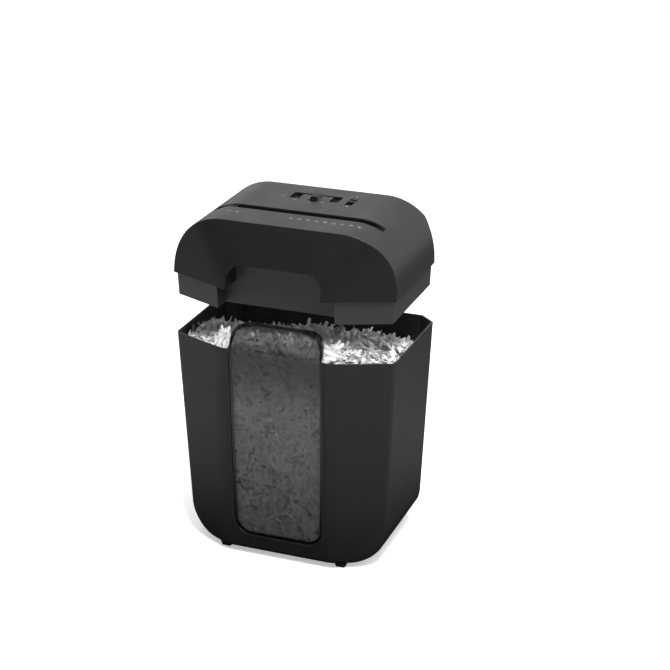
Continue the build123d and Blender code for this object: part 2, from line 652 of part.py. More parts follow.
def make_comb(centre, first_x, side):
    """A stripper comb: a bar on a tie rod with a finger in every groove between the cutter's discs."""
    bar_near = centre[0] + side * (CUTTER_R + 1.6)
    bar_far = bar_near + side * 8.0
    comb = block(-97.0, 129.0, *sorted((bar_near, bar_far)), AXLE_Z - 13.0, AXLE_Z + 13.0)
    tip = centre[0] + side * (CORE_R + 0.9)
    fingers = []
    groove = DISC_PITCH - DISC_THICK
    for i in range(DISC_COUNT - 1):
        x = first_x + DISC_PITCH * i + DISC_THICK + groove / 2
        fingers.append(block(x - 1.6, x + 1.6, *sorted((tip, bar_near + side)), AXLE_Z - 9.0, AXLE_Z + 9.0))
    comb = comb.fuse(*fingers)
    rod = (-52.0, AXLE_Z) if side < 0 else (23.4, AXLE_Z)
    return comb - rod_x(rod, ROD_R + 0.1, -100.0, 135.0)


# ---- frame, motor and electrics ----

def plate(x_low, y_low, y_high, z_low, z_high, holes):
    """A steel frame plate across the head with round holes, each (centre, radius)."""
    sheet = block(x_low, x_low + PLATE_THICK, y_low, y_high, z_low, z_high)
    sheet = fillet(sheet.edges().filter_by(Axis.X), 6.0)
    for centre, radius in holes:
        sheet -= rod_x(centre, radius, x_low - 1, x_low + PLATE_THICK + 1)
    return sheet


def make_plates():
    """The left, right and outer gear plates, by name, with the holes for what they carry."""
    low = FLOOR_Z + SHELL_WALL
    bushes = [(axle, BUSH_R + 0.05) for axle in (FRONT_AXLE, REAR_AXLE)]
    pins = [(axle, PIN_R + 0.02) for axle in (SECOND_AXLE, FIRST_AXLE)]
    rods = [(spot, ROD_END_R + 0.05) for spot in ROD_SPOTS]
    motor = [(MOTOR_AXLE, 9.0)]
    return {
        "left_plate": plate(LEFT_PLATE_X, -60.0, 100.0, low, 493.0, bushes + pins + rods + motor),
        "right_plate": plate(RIGHT_PLATE_X, -60.0, 32.0, low, 492.0, bushes + rods),
        "gear_plate": plate(OUTER_PLATE_X, -14.0, 100.0, low, 494.0, pins),
    }


def make_tie_rods():
    """Four rods that space the side plates, turned down at each end."""
    rods = []
    for spot in ROD_SPOTS:
        ends = rod_x(spot, ROD_END_R, LEFT_PLATE_X, RIGHT_PLATE_X + PLATE_THICK)
        rods.append(ends + rod_x(spot, ROD_R, LEFT_PLATE_X + PLATE_THICK, RIGHT_PLATE_X))
    return rods


def make_gear_pins():
    """The two fixed pins that the reduction wheels turn on."""
    inner = LEFT_PLATE_X + PLATE_THICK
    return [rod_x(axle, PIN_R, OUTER_PLATE_X, inner) for axle in (SECOND_AXLE, FIRST_AXLE)]


def make_switches():
    """The three microswitch bodies, by name: mode, safety and paper."""
    mode_top = TOP_Z - MODE_DEEP - 3.8
    safety_low = FLOOR_Z + SHELL_WALL + 12.2
    return {
        "mode_switch": block(
            MODE_X - 19.0, MODE_X + 19.0, MODE_Y - 8.0, MODE_Y + 8.0, mode_top - 12.2, mode_top
        ),
        "safety_switch": block(
            PLUNGER_X - 9.0, PLUNGER_X + 9.0, PLUNGER_Y - 5.0, PLUNGER_Y + 16.0, safety_low, safety_low + 11.0
        ),
        "paper_switch": block(
            FLAG_X - 7.0, FLAG_X + 7.0, FLAG_Y + 13.0, FLAG_Y + 19.0, FLAG_Z - 12.0, FLAG_Z + 8.0
        ),
    }


def make_bushes():
    """Four flanged bronze bushes that carry the cutter journals."""
    bushes = []
    for centre in (FRONT_AXLE, REAR_AXLE):
        for x_plate, side in ((LEFT_PLATE_X, 1), (RIGHT_PLATE_X, -1)):
            x_inner = x_plate + PLATE_THICK if side > 0 else x_plate
            flange = rod_x(centre, 10.5, *sorted((x_inner, x_inner + side * 1.5)))
            barrel = rod_x(centre, BUSH_R, x_plate - 0.4, x_plate + PLATE_THICK + 0.4)
            bush = flange + barrel
            bushes.append(bush - rod_x(centre, JOURNAL_R + RUNNING_GAP, x_plate - 4, x_plate + 6))
    return bushes


def make_motor_can():
    """The motor's drawn steel can, closed at the gear end, with cooling windows."""
    can = rod_x(MOTOR_AXLE, MOTOR_R, MOTOR_LEFT, MOTOR_RIGHT)
    can -= rod_x(MOTOR_AXLE, MOTOR_R - 2.0, MOTOR_LEFT + 2.5, MOTOR_RIGHT + 1)
    can -= rod_x(MOTOR_AXLE, MOTOR_SHAFT_R + RUNNING_GAP, MOTOR_LEFT - 1, MOTOR_LEFT + 4)
    for i in range(4):
        window = Pos(0, *MOTOR_AXLE) * Rot(90 * i + 45, 0, 0) * Pos(0, MOTOR_R, 0) * Box(16.0, 12.0, 9.0)
        can -= Pos(MOTOR_RIGHT - 16.0, 0, 0) * window
    return can


def make_motor_cap():
    """The moulded cap at the motor's far end, with the second shaft bearing."""
    cap = rod_x(MOTOR_AXLE, MOTOR_R, MOTOR_RIGHT, MOTOR_RIGHT + 6.0)
    cap += rod_x(MOTOR_AXLE, 7.0, MOTOR_RIGHT + 5.0, MOTOR_RIGHT + 11.0)
    return cap - rod_x(MOTOR_AXLE, MOTOR_SHAFT_R + RUNNING_GAP, MOTOR_RIGHT - 1, MOTOR_RIGHT + 9.0)


def make_rotor():
    """The motor's shaft with its armature and commutator."""
    rotor = rod_x(MOTOR_AXLE, MOTOR_SHAFT_R, -114.0, MOTOR_RIGHT + 8.0)
    rotor += rod_x(MOTOR_AXLE, 19.0, MOTOR_LEFT + 12.0, MOTOR_RIGHT - 24.0)
    rotor += rod_x(MOTOR_AXLE, 9.0, MOTOR_RIGHT - 20.0, MOTOR_RIGHT - 8.0)
    for i in range(8):
        groove = Pos(0, *MOTOR_AXLE) * Rot(45 * i, 0, 0) * Pos(0, 17.0, 0) * Box(60.0, 9.0, 2.4)
        rotor -= Pos((MOTOR_LEFT + MOTOR_RIGHT) / 2 - 6.0, 0, 0) * groove
    return rotor


def make_board_parts():
    """Relay, capacitor, terminal block and fuse clip on the control board."""
    deck = FLOOR_Z + SHELL_WALL + 7.6
    return [
        block(20.0, 40.0, 60.0, 76.0, deck, deck + 16.0),
        rod_z(58.0, 70.0, 8.0, deck, deck + 24.0),
        block(76.0, 104.0, 86.0, 97.0, deck, deck + 12.0),
        block(72.0, 98.0, 56.0, 64.0, deck, deck + 6.0),
    ]


def make_board():
    """The control board on four posts."""
    deck = FLOOR_Z + SHELL_WALL + 6.0
    board = block(10.0, 112.0, 48.0, 102.0, deck, deck + 1.6)
    for x in (15.0, 107.0):
        for y in (53.0, 97.0):
            board += rod_z(x, y, 3.0, FLOOR_Z + SHELL_WALL, deck + 0.5)
    return board


def make_mode_knob():
    """The three-position slide: a thin plate with a ribbed grip, and a stem to the switch."""
    plate_z = TOP_Z - 3.2
    knob = block(MODE_X - 23.5, MODE_X + 23.5, MODE_Y - 10.5, MODE_Y + 10.5, plate_z, TOP_Z - 0.6)
    grip = Plane.XZ.offset(-(MODE_Y + 9.5)) * Polygon(
        (MODE_X - 7.5, plate_z + 1), (MODE_X + 7.5, plate_z + 1), (MODE_X + 4.5, TOP_Z + 4.2),
        (MODE_X - 4.5, TOP_Z + 4.2), align=None,
    )
    grip = extrude(grip, 19.0)
    for i in range(-1, 2):
        grip -= block(MODE_X + 2.6 * i - 0.5, MODE_X + 2.6 * i + 0.5, MODE_Y - 12, MODE_Y + 12,
                      TOP_Z + 3.2, TOP_Z + 6.0)
    stem_z = TOP_Z - MODE_DEEP - 3.6
    stem = block(MODE_X - 3.0, MODE_X + 3.0, MODE_Y - 2.0, MODE_Y + 2.0, stem_z, plate_z + 1)
    return knob + grip + stem


def make_lock_slider():
    """The small safety lock slide at the rear end of its recess."""
    y = LOCK_Y + LOCK_LONG / 2 - 0.5
    slider = block(LOCK_X - 4.6, LOCK_X + 4.6, y - 17.5, y, TOP_Z - 3.4, TOP_Z - 0.3)
    slider += block(LOCK_X - 4.6, LOCK_X + 4.6, y - 10.0, y - 7.5, TOP_Z - 1.0, TOP_Z + 1.4)
    stem_z = TOP_Z - LOCK_DEEP - 3.6
    return slider + block(LOCK_X - 1.2, LOCK_X + 1.2, y - 12.0, y - 7.0, stem_z, TOP_Z - 3.0)


def make_lenses():
    """Two small lamp windows in the top."""
    lens = extrude(RectangleRounded(6.0, 3.0, 0.9), 3.4)
    return [Pos(x, LAMP_Y, TOP_Z - 3.6) * lens for x in LAMP_SPOTS]


def make_plunger():
    """The safety plunger: a pin through the floor with a collar for its spring."""
    pin = rod_z(PLUNGER_X, PLUNGER_Y, PLUNGER_R, FLOOR_Z - 6.0, FLOOR_Z + 10.0)
    return pin + rod_z(PLUNGER_X, PLUNGER_Y, 5.6, FLOOR_Z + SHELL_WALL + 0.1, FLOOR_Z + SHELL_WALL + 2.0)


def make_plunger_spring():
    """The coil spring between the plunger's collar and the safety switch."""
    low = FLOOR_Z + SHELL_WALL + 2.0 + 0.45
    tall = 9.0
    path = Helix(pitch=tall / 5, height=tall, radius=4.4)
    wire = Plane(origin=path @ 0, z_dir=path % 0) * Circle(0.4)
    return Pos(PLUNGER_X, PLUNGER_Y, low) * sweep(wire, path=path, is_frenet=True)


def make_screws():
    """Four housing screws, their heads sunk in the floor of the lower housing."""
    screws = []
    for x, y in SCREW_SPOTS:
        screw = rod_z(x, y, 1.5, FLOOR_Z, FLOOR_Z + 18.0) + rod_z(x, y, 3.2, FLOOR_Z + 0.2, FLOOR_Z + 1.4)
        cross = block(x - 2.0, x + 2.0, y - 0.4, y + 0.4, FLOOR_Z - 1, FLOOR_Z + 0.9)
        cross += block(x - 0.4, x + 0.4, y - 2.0, y + 2.0, FLOOR_Z - 1, FLOOR_Z + 0.9)
        screws.append(screw - cross)
    return screws


def make_gland():
    """The cord inlet's bush in the rear wall."""
    axis = (GLAND_X, GLAND_Z)
    ring = rod_y(axis, 6.0, COVER_REAR_Y - 8.0, COVER_REAR_Y)
    lip = rod_y(axis, 8.5, COVER_REAR_Y - 2.0, COVER_REAR_Y) - cover_form(-0.02)
    return ring + lip - rod_y(axis, 3.6, COVER_REAR_Y - 20.0, COVER_REAR_Y + 5.0)


# ---- every node, then its file ----

rear_first_x = -96.0
front_first_x = rear_first_x + DISC_PITCH / 2
keyed_r = JOURNAL_R + 0.01
pinion_bore = MOTOR_SHAFT_R + 0.01
nodes = {
    "bin_shell": make_bin_shell(),
    "bin_window": make_window(),
    "bin_feet": make_feet(),
    "head_cover": make_cover(),
    "lower_housing": make_lower_housing(),
    "throat_guide": make_throat(),
    "front_cutter": make_cutter(FRONT_AXLE, front_first_x, -114.0, -13.0),
    "rear_cutter": make_cutter(REAR_AXLE, rear_first_x, -126.0, 13.0),
    "front_twin_gear": gear(TWIN_M, TWIN_TEETH, FRONT_AXLE, FRONT_TWIN_PHASE, -113.0, -104.5, keyed_r),
    "rear_twin_gear": gear(TWIN_M, TWIN_TEETH, REAR_AXLE, TWIN_PHASE, -113.0, -104.5, keyed_r),
    "final_gear": gear(FINAL_M, FINAL_TEETH, REAR_AXLE, FINAL_PHASE, -123.0, -115.0, keyed_r),
    "motor_pinion": gear(FIRST_M, PINION_TEETH, MOTOR_AXLE, MOTOR_PHASE, -113.5, -104.8, pinion_bore),
    "second_gear": make_second_gear(),
    "first_gear": make_first_gear(),
    "gear_pins": make_gear_pins(),
    "tie_rods": make_tie_rods(),
    "front_comb": make_comb(FRONT_AXLE, front_first_x, -1),
    "rear_comb": make_comb(REAR_AXLE, rear_first_x, 1),
    "cutter_bushes": make_bushes(),
    "motor_can": make_motor_can(),
    "motor_end_cap": make_motor_cap(),
    "motor_rotor": make_rotor(),
    "control_board": make_board(),
    "board_parts": make_board_parts(),
    "mode_knob": make_mode_knob(),
    "lock_slider": make_lock_slider(),
    "lamp_lenses": make_lenses(),
    "paper_flag": make_flag(),
    "flag_pin": rod_x((FLAG_Y, FLAG_Z), 1.25, FLAG_X - 5.4, FLAG_X + 5.4),
    "safety_plunger": make_plunger(),
    "plunger_spring": make_plunger_spring(),
    "housing_screws": make_screws(),
    "cord_gland": make_gland(),
    **make_plates(),
    **make_switches(),
}

for name, shape in nodes.items():
    solids = shape if isinstance(shape, list) else [shape]
    whole = Compound(children=[solid for item in solids for solid in item.solids()])
    whole.label = name
    export_step(whole, f"parts/{name}.step")
    box = whole.bounding_box()
    print(f"{name:18s} solids {len(whole.solids())}  x {box.min.X:.1f}..{box.max.X:.1f}  "
          f"y {box.min.Y:.1f}..{box.max.Y:.1f}  z {box.min.Z:.1f}..{box.max.Z:.1f}")
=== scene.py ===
import math
import bpy
import numpy as np
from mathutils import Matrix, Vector


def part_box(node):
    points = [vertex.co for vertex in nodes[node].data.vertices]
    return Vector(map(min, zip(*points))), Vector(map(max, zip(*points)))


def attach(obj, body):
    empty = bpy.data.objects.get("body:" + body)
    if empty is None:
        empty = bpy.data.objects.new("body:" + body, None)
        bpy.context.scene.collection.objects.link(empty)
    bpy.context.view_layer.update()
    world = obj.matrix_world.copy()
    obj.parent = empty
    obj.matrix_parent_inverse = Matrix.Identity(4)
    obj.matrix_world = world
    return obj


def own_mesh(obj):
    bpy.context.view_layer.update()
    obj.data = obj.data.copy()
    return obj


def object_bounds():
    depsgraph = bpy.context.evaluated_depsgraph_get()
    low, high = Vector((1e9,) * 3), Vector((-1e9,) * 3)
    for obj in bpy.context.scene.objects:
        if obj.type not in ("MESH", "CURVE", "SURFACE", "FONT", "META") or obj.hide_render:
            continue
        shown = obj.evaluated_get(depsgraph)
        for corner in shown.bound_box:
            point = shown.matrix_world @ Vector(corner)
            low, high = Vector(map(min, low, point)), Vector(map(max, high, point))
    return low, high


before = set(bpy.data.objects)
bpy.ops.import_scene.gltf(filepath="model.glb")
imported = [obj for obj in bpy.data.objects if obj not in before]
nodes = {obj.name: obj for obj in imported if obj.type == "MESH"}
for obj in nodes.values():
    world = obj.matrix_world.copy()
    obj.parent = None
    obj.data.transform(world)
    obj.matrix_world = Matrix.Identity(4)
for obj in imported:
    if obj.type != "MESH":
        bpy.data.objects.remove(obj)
cad_low, cad_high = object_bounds()
scene = bpy.context.scene


# ---- Camera ----
# A long lens a little above the head and to the right of the front.
camera_place = Vector((0.9207, -2.2689, 1.3375))
camera_pitch = math.radians(67.5)
camera_turn = math.radians(20.99)
camera_data = bpy.data.cameras.new("camera")
camera_data.sensor_width = 36.0
camera_data.lens = 96.7
camera = bpy.data.objects.new("camera", camera_data)
camera.location = camera_place
camera.rotation_euler = (camera_pitch, 0.0, camera_turn)
scene.collection.objects.link(camera)
scene.camera = camera


# ---- Studio ----
# Pale floor, a bright room behind the object, a dim one in front, and soft boxes above and beside it. The
# camera sees plain white behind the floor instead of the room.
def node(tree, kind, sockets=None, **settings):
    """One node in a tree. Settings are the node's own; sockets are values, or outputs to link, by name."""
    made = tree.nodes.new(kind)
    for name, value in settings.items():
        setattr(made, name, value)
    for name, value in (sockets or {}).items():
        if isinstance(value, bpy.types.NodeSocket):
            tree.links.new(value, made.inputs[name])
        else:
            made.inputs[name].default_value = value
    return made


floor_colour = (0.86, 0.86, 0.86, 1.0)
floor_glow = 0.45
floor_half = 6.0
scene.view_settings.view_transform = "Standard"

world = bpy.data.worlds.new("studio")
scene.world = world
world.use_nodes = True
sky = world.node_tree
sky.nodes.clear()
heading = node(sky, "ShaderNodeTexCoord")
split_heading = node(sky, "ShaderNodeSeparateXYZ", {"Vector": heading.outputs["Generated"]})
front_to_back = node(sky, "ShaderNodeMapRange", {
    "Value": split_heading.outputs["Y"], "From Min": -0.9, "From Max": 0.7, "To Min": 0.09, "To Max": 0.90,
}, interpolation_type="SMOOTHSTEP")
left_to_right = node(sky, "ShaderNodeMapRange", {
    "Value": split_heading.outputs["X"], "From Min": -1.0, "From Max": 1.0, "To Min": 0.85, "To Max": 1.15,
})
room_light = node(sky, "ShaderNodeMath", {
    0: front_to_back.outputs["Result"], 1: left_to_right.outputs["Result"],
}, operation="MULTIPLY")
white = (1.0, 1.0, 1.0, 1.0)
room = node(sky, "ShaderNodeBackground", {"Color": white, "Strength": room_light.outputs["Value"]})
backdrop = node(sky, "ShaderNodeBackground", {"Color": white, "Strength": 1.0})
seen = node(sky, "ShaderNodeLightPath")
choice = node(sky, "ShaderNodeMixShader", {
    0: seen.outputs["Is Camera Ray"], 1: room.outputs["Background"], 2: backdrop.outputs["Background"],
})
node(sky, "ShaderNodeOutputWorld", {"Surface": choice.outputs["Shader"]})


def soft_box(name, place, target, width, height, watts, colour=(1.0, 1.0, 1.0)):
    """A rectangular area light at place that faces target."""
    lamp = bpy.data.lights.new(name, "AREA")
    lamp.shape = "RECTANGLE"
    lamp.size = width
    lamp.size_y = height
    lamp.energy = watts
    lamp.color = colour
    holder = bpy.data.objects.new(name, lamp)
    holder.location = place
    holder.rotation_euler = (Vector(target) - Vector(place)).to_track_quat("-Z", "Y").to_euler()
    scene.collection.objects.link(holder)


aim = (0.0, 0.0, 0.3)
soft_box("overhead", (0.1, 0.25, 2.2), aim, 1.6, 1.2, 20.0)
soft_box("right_side", (2.0, 0.2, 1.1), aim, 0.9, 1.6, 6.0, (0.93, 0.97, 1.0))
soft_box("key", (0.9, -1.1, 2.6), aim, 0.9, 0.9, 78.0)

floor_mesh = bpy.data.meshes.new("floor")
floor_mesh.from_pydata(
    [(-floor_half, -floor_half, 0.0), (floor_half, -floor_half, 0.0),
     (floor_half, floor_half, 0.0), (-floor_half, floor_half, 0.0)], [], [(0, 1, 2, 3)]
)
floor = bpy.data.objects.new("floor", floor_mesh)
scene.collection.objects.link(floor)
# The camera sees the floor a little brighter than it is lit. A glossy ray sees a glow instead of the lit
# floor, dark beside the object and dimmer behind it, so the black mouldings darken towards their feet.
floor_paint = bpy.data.materials.new("floor_paint")
floor_paint.use_nodes = True
floor_tree = floor_paint.node_tree
floor_tree.nodes.clear()
pale = node(floor_tree, "ShaderNodeBsdfPrincipled", {"Base Color": floor_colour, "Roughness": 0.9})
floor_ray = node(floor_tree, "ShaderNodeLightPath")
glow = node(floor_tree, "ShaderNodeMath", {
    0: floor_ray.outputs["Is Camera Ray"], 1: floor_glow,
}, operation="MULTIPLY")
floor_tree.links.new(glow.outputs["Value"], pale.inputs["Emission Strength"])
pale.inputs["Emission Color"].default_value = white
floor_spot = node(floor_tree, "ShaderNodeTexCoord").outputs["Object"]
floor_reach = node(floor_tree, "ShaderNodeVectorMath", {0: floor_spot}, operation="LENGTH").outputs["Value"]
mirrored_near = node(floor_tree, "ShaderNodeMapRange", {
    "Value": floor_reach, "From Min": 0.15, "From Max": 0.58, "To Min": 0.0, "To Max": 0.74,
}, interpolation_type="SMOOTHSTEP").outputs["Result"]
floor_split = node(floor_tree, "ShaderNodeSeparateXYZ", {"Vector": floor_spot})
mirrored_back = node(floor_tree, "ShaderNodeMapRange", {
    "Value": floor_split.outputs["Y"], "From Min": -0.1, "From Max": 0.7, "To Min": 1.0, "To Max": 0.3,
}, interpolation_type="SMOOTHSTEP").outputs["Result"]
mirrored_level = node(floor_tree, "ShaderNodeMath", {
    0: mirrored_near, 1: mirrored_back,
}, operation="MULTIPLY")
mirrored = node(floor_tree, "ShaderNodeEmission", {"Strength": mirrored_level.outputs["Value"]})
floor_mix = node(floor_tree, "ShaderNodeMixShader", {
    0: floor_ray.outputs["Is Glossy Ray"], 1: pale.outputs["BSDF"], 2: mirrored.outputs["Emission"],
})
node(floor_tree, "ShaderNodeOutputMaterial", {"Surface": floor_mix.outputs["Shader"]})
floor_mesh.materials.append(floor_paint)


# ---- Bin shell ----
# One deep injection moulding in black polypropylene: tapered walls, a stepped window opening with a
# raised bead round it, and large lower corners. The outside has a fine spark-eroded grain.
mm = 0.001


def new_group(name, inputs, outputs):
    """An empty shader node group with float inputs {name: value} and outputs {name: socket type}."""
    group = bpy.data.node_groups.new(name, "ShaderNodeTree")
    for label, value in inputs.items():
        socket = group.interface.new_socket(label, in_out="INPUT", socket_type="NodeSocketFloat")
        socket.default_value = value
    for label, kind in outputs.items():
        group.interface.new_socket(label, in_out="OUTPUT", socket_type=kind)
    return group, node(group, "NodeGroupInput"), node(group, "NodeGroupOutput")


def arithmetic(tree, operation, first, second=0.0, clamp=False):
    """The output of one Math node on two values or sockets."""
    made = node(tree, "ShaderNodeMath", {0: first, 1: second}, operation=operation, use_clamp=clamp)
    return made.outputs["Value"]


def ramp(tree, value, low, high, to_low=0.0, to_high=1.0):
    """A smooth step of value from low to high, spread over to_low to to_high."""
    return node(tree, "ShaderNodeMapRange", {
        "Value": value, "From Min": low, "From Max": high, "To Min": to_low, "To Max": to_high,
    }, interpolation_type="SMOOTHSTEP").outputs["Result"]


def noise(tree, place, scale, detail=2.0, roughness=0.5, distortion=0.0):
    """The grey value of one noise texture, scale in features to the metre."""
    return node(tree, "ShaderNodeTexNoise", {
        "Vector": place, "Scale": scale, "Detail": detail, "Roughness": roughness, "Distortion": distortion,
    }).outputs["Fac"]


def blend_colour(tree, share, first, second):
    """Second over first by share."""
    mix = node(tree, "ShaderNodeMix", {0: share}, data_type="RGBA")
    for socket, colour in ((mix.inputs[6], first), (mix.inputs[7], second)):
        if isinstance(colour, bpy.types.NodeSocket):
            tree.links.new(colour, socket)
        else:
            socket.default_value = (*colour, 1.0)
    return mix.outputs[2]


# Moulded grain: fine bumps of the given size, and slow blotches where the surface is a little glossier.
grain_group, grain_in, grain_out = new_group(
    "moulded_grain", {"Size": 0.6, "Blotch": 35.0},
    {"Height": "NodeSocketFloat", "Blotches": "NodeSocketFloat"}
)
grain_place = node(grain_group, "ShaderNodeTexCoord").outputs["Object"]
grain_scale = arithmetic(grain_group, "DIVIDE", 1000.0, grain_in.outputs["Size"])
blotch_scale = arithmetic(grain_group, "DIVIDE", 1000.0, grain_in.outputs["Blotch"])
grain_group.links.new(noise(grain_group, grain_place, grain_scale, 2.0, 0.6), grain_out.inputs["Height"])
grain_group.links.new(noise(grain_group, grain_place, blotch_scale, 4.0, 0.6), grain_out.inputs["Blotches"])

# Edges: a small round on every sharp edge, and a broken lighter line along it, of scuffs and painted
# highlight.
edge_group, edge_in, edge_out = new_group(
    "worn_and_highlit_edges", {"Radius": 0.5, "Reach": 1.6, "Breaks": 9.0},
    {"Normal": "NodeSocketVector", "Wear_and_highlight": "NodeSocketFloat"}
)
small_round = node(edge_group, "ShaderNodeBevel", {
    "Radius": arithmetic(edge_group, "MULTIPLY", edge_in.outputs["Radius"], mm),
}, samples=4)
wide_round = node(edge_group, "ShaderNodeBevel", {
    "Radius": arithmetic(edge_group, "MULTIPLY", edge_in.outputs["Reach"], mm),
}, samples=4)
flat_normal = node(edge_group, "ShaderNodeNewGeometry").outputs["Normal"]
agreement = node(edge_group, "ShaderNodeVectorMath", {
    0: wide_round.outputs["Normal"], 1: flat_normal,
}, operation="DOT_PRODUCT").outputs["Value"]
near_edge = ramp(edge_group, agreement, 0.995, 0.80)
edge_place = node(edge_group, "ShaderNodeTexCoord").outputs["Object"]
break_scale = arithmetic(edge_group, "DIVIDE", 1000.0, edge_in.outputs["Breaks"])
breaks = ramp(edge_group, noise(edge_group, edge_place, break_scale, 5.0, 0.7), 0.42, 0.66)
edge_group.links.new(small_round.outputs["Normal"], edge_out.inputs["Normal"])
edge_group.links.new(arithmetic(edge_group, "MULTIPLY", near_edge, breaks), edge_out.inputs["Wear_and_highlight"])

# Dust: paper dust that settles on what faces up, thicker in soft patches with a few larger specks.
dust_group, dust_in, dust_out = new_group("settled_dust", {"Amount": 0.2}, {"Mask": "NodeSocketFloat"})
dust_place = node(dust_group, "ShaderNodeTexCoord").outputs["Object"]
facing = node(dust_group, "ShaderNodeSeparateXYZ", {
    "Vector": node(dust_group, "ShaderNodeNewGeometry").outputs["Normal"],
}).outputs["Z"]
patches = ramp(dust_group, noise(dust_group, dust_place, 22.0, 4.0, 0.6), 0.40, 0.75)
specks = ramp(dust_group, noise(dust_group, dust_place, 900.0, 1.0), 0.68, 0.76)
settled = arithmetic(dust_group, "ADD", arithmetic(dust_group, "MULTIPLY", patches, 0.6), specks)
upward = ramp(dust_group, facing, 0.55, 0.98)
settled = arithmetic(dust_group, "MULTIPLY", settled, upward)
dust_mask = arithmetic(dust_group, "MULTIPLY", settled, dust_in.outputs["Amount"], clamp=True)
dust_group.links.new(dust_mask, dust_out.inputs["Mask"])


paper_dust = (0.55, 0.54, 0.52)


def grouped(tree, group, **values):
    """One use of a shared node group, with its own input values."""
    used = node(tree, "ShaderNodeGroup", node_tree=group)
    for label, value in values.items():
        used.inputs[label].default_value = value
    return used.outputs


def new_material(name, specular=0.5):
    """An empty material with one Principled shader; returns the material, its tree and the shader."""
    material = bpy.data.materials.new(name)
    material.use_nodes = True
    shader = material.node_tree.nodes["Principled BSDF"]
    shader.inputs["Specular IOR Level"].default_value = specular
    return material, material.node_tree, shader


def moulded(name, colour, gloss, specular=0.5, grain=0.6, depth=0.05, scuff_and_highlight_gain=1.8, scuff_and_highlight_share=0.5, dust=0.06,
             edge=0.5):
    """Moulded plastic. gloss is (roughness of the shiny blotches, of the dull ones); grain, depth and edge
    round in mm; scuff_and_highlight_gain is how much lighter an edge is, for scuffs and painted highlight,
    scuff_and_highlight_share how much of it shows."""
    material, tree, shader = new_material(name, specular)
    surface = grouped(tree, grain_group, Size=grain)
    edges = grouped(tree, edge_group, Radius=edge)
    lighter = tuple(min(1.0, channel * scuff_and_highlight_gain + 0.02) for channel in colour)
    streaky = tuple(channel * 1.12 for channel in colour)
    paint = blend_colour(tree, surface["Blotches"], colour, streaky)
    # Edges lighter in a broken line: scuffs, and a painted highlight along the edge.
    paint = blend_colour(tree, arithmetic(tree, "MULTIPLY", edges["Wear_and_highlight"], scuff_and_highlight_share), paint, lighter)
    paint = blend_colour(tree, grouped(tree, dust_group, Amount=dust)["Mask"], paint, paper_dust)
    tree.links.new(paint, shader.inputs["Base Color"])
    tree.links.new(ramp(tree, surface["Blotches"], 0.3, 0.7, *gloss), shader.inputs["Roughness"])
    bump = node(tree, "ShaderNodeBump", {
        "Strength": 0.6, "Distance": depth * mm, "Height": surface["Height"], "Normal": edges["Normal"],
    })
    tree.links.new(bump.outputs["Normal"], shader.inputs["Normal"])
    return material


def finish(material, *names):
    """Puts a material on CAD nodes."""
    for name in names:
        for spot in nodes[name].material_slots:
            spot.material = material


bin_black = moulded("bin_black", (0.0072, 0.0074, 0.0079), (0.44, 0.47), specular=0.42)
finish(bin_black, "bin_shell")


# ---- Bin feet ----
# Four black rubbery pads pressed into the floor of the bin by a peg each.
foot_black = moulded(
    "foot_black", (0.011, 0.011, 0.011), (0.60, 0.75), specular=0.3, grain=0.9, scuff_and_highlight_share=0.3, dust=0.1
)
finish(foot_black, "bin_feet")


# ---- Window ----
# One sheet of smoked polycarbonate, snapped into the stepped opening from outside and bent back above
# the rim as a tab. Its surface is slightly frosted, so the paper behind it blurs. Painted shade makes the
# tint darker in a band under the bend and round the turned edge of the tab.
tab_half, tab_round_z, tab_rise = 71.5 * mm, 300.0 * mm, 70.5 * mm
tab_power = 5.0
bend_z = 333.0 * mm
smoked_window, window_tree, window_shader = new_material("smoked_window", 0.5)
window_shader.inputs["Transmission Weight"].default_value = 1.0
window_shader.inputs["IOR"].default_value = 1.45
window_place = node(window_tree, "ShaderNodeTexCoord").outputs["Object"]
window_split = node(window_tree, "ShaderNodeSeparateXYZ", {"Vector": window_place}).outputs
# Painted shade: the tint turns darker in a band under the bend.
painted_shade_under_bend = arithmetic(
    window_tree, "MULTIPLY", ramp(window_tree, window_split["Z"], bend_z - 98.0 * mm, bend_z - 8.0 * mm),
    ramp(window_tree, window_split["Z"], bend_z + 12.0 * mm, bend_z - 1.0 * mm)
)
# The tab's outline is near |x / tab_half|^p + ((z - tab_round_z) / tab_rise)^p = 1, with p the tab_power.
sideways = arithmetic(
    window_tree, "ABSOLUTE", arithmetic(window_tree, "DIVIDE", window_split["X"], tab_half)
)
upwards = arithmetic(
    window_tree, "DIVIDE", arithmetic(window_tree, "SUBTRACT", window_split["Z"], tab_round_z), tab_rise
)
upwards = arithmetic(window_tree, "MAXIMUM", upwards, 0.0)
outline_level = arithmetic(
    window_tree, "ADD", arithmetic(window_tree, "POWER", sideways, tab_power),
    arithmetic(window_tree, "POWER", upwards, tab_power)
)
# Painted shade: the tint turns nearly black round the turned edge of the tab.
painted_shade_tab_edge = arithmetic(
    window_tree, "MULTIPLY", ramp(window_tree, outline_level, 0.76, 0.90),
    ramp(window_tree, window_split["Z"], bend_z - 3.0 * mm, bend_z + 5.0 * mm)
)
# The smoked tint, with the painted shade of the band under the bend and round the tab's edge.
smoke_and_painted_shade = blend_colour(window_tree, painted_shade_under_bend, (0.56, 0.565, 0.575), (0.30, 0.305, 0.31))
window_tree.links.new(
    blend_colour(window_tree, painted_shade_tab_edge, smoke_and_painted_shade, (0.12, 0.12, 0.12)), window_shader.inputs["Base Color"]
)
frosting = noise(window_tree, window_place, 60.0, 3.0, 0.6)
window_tree.links.new(ramp(window_tree, frosting, 0.3, 0.7, 0.13, 0.18), window_shader.inputs["Roughness"])
finish(smoked_window, "bin_window")


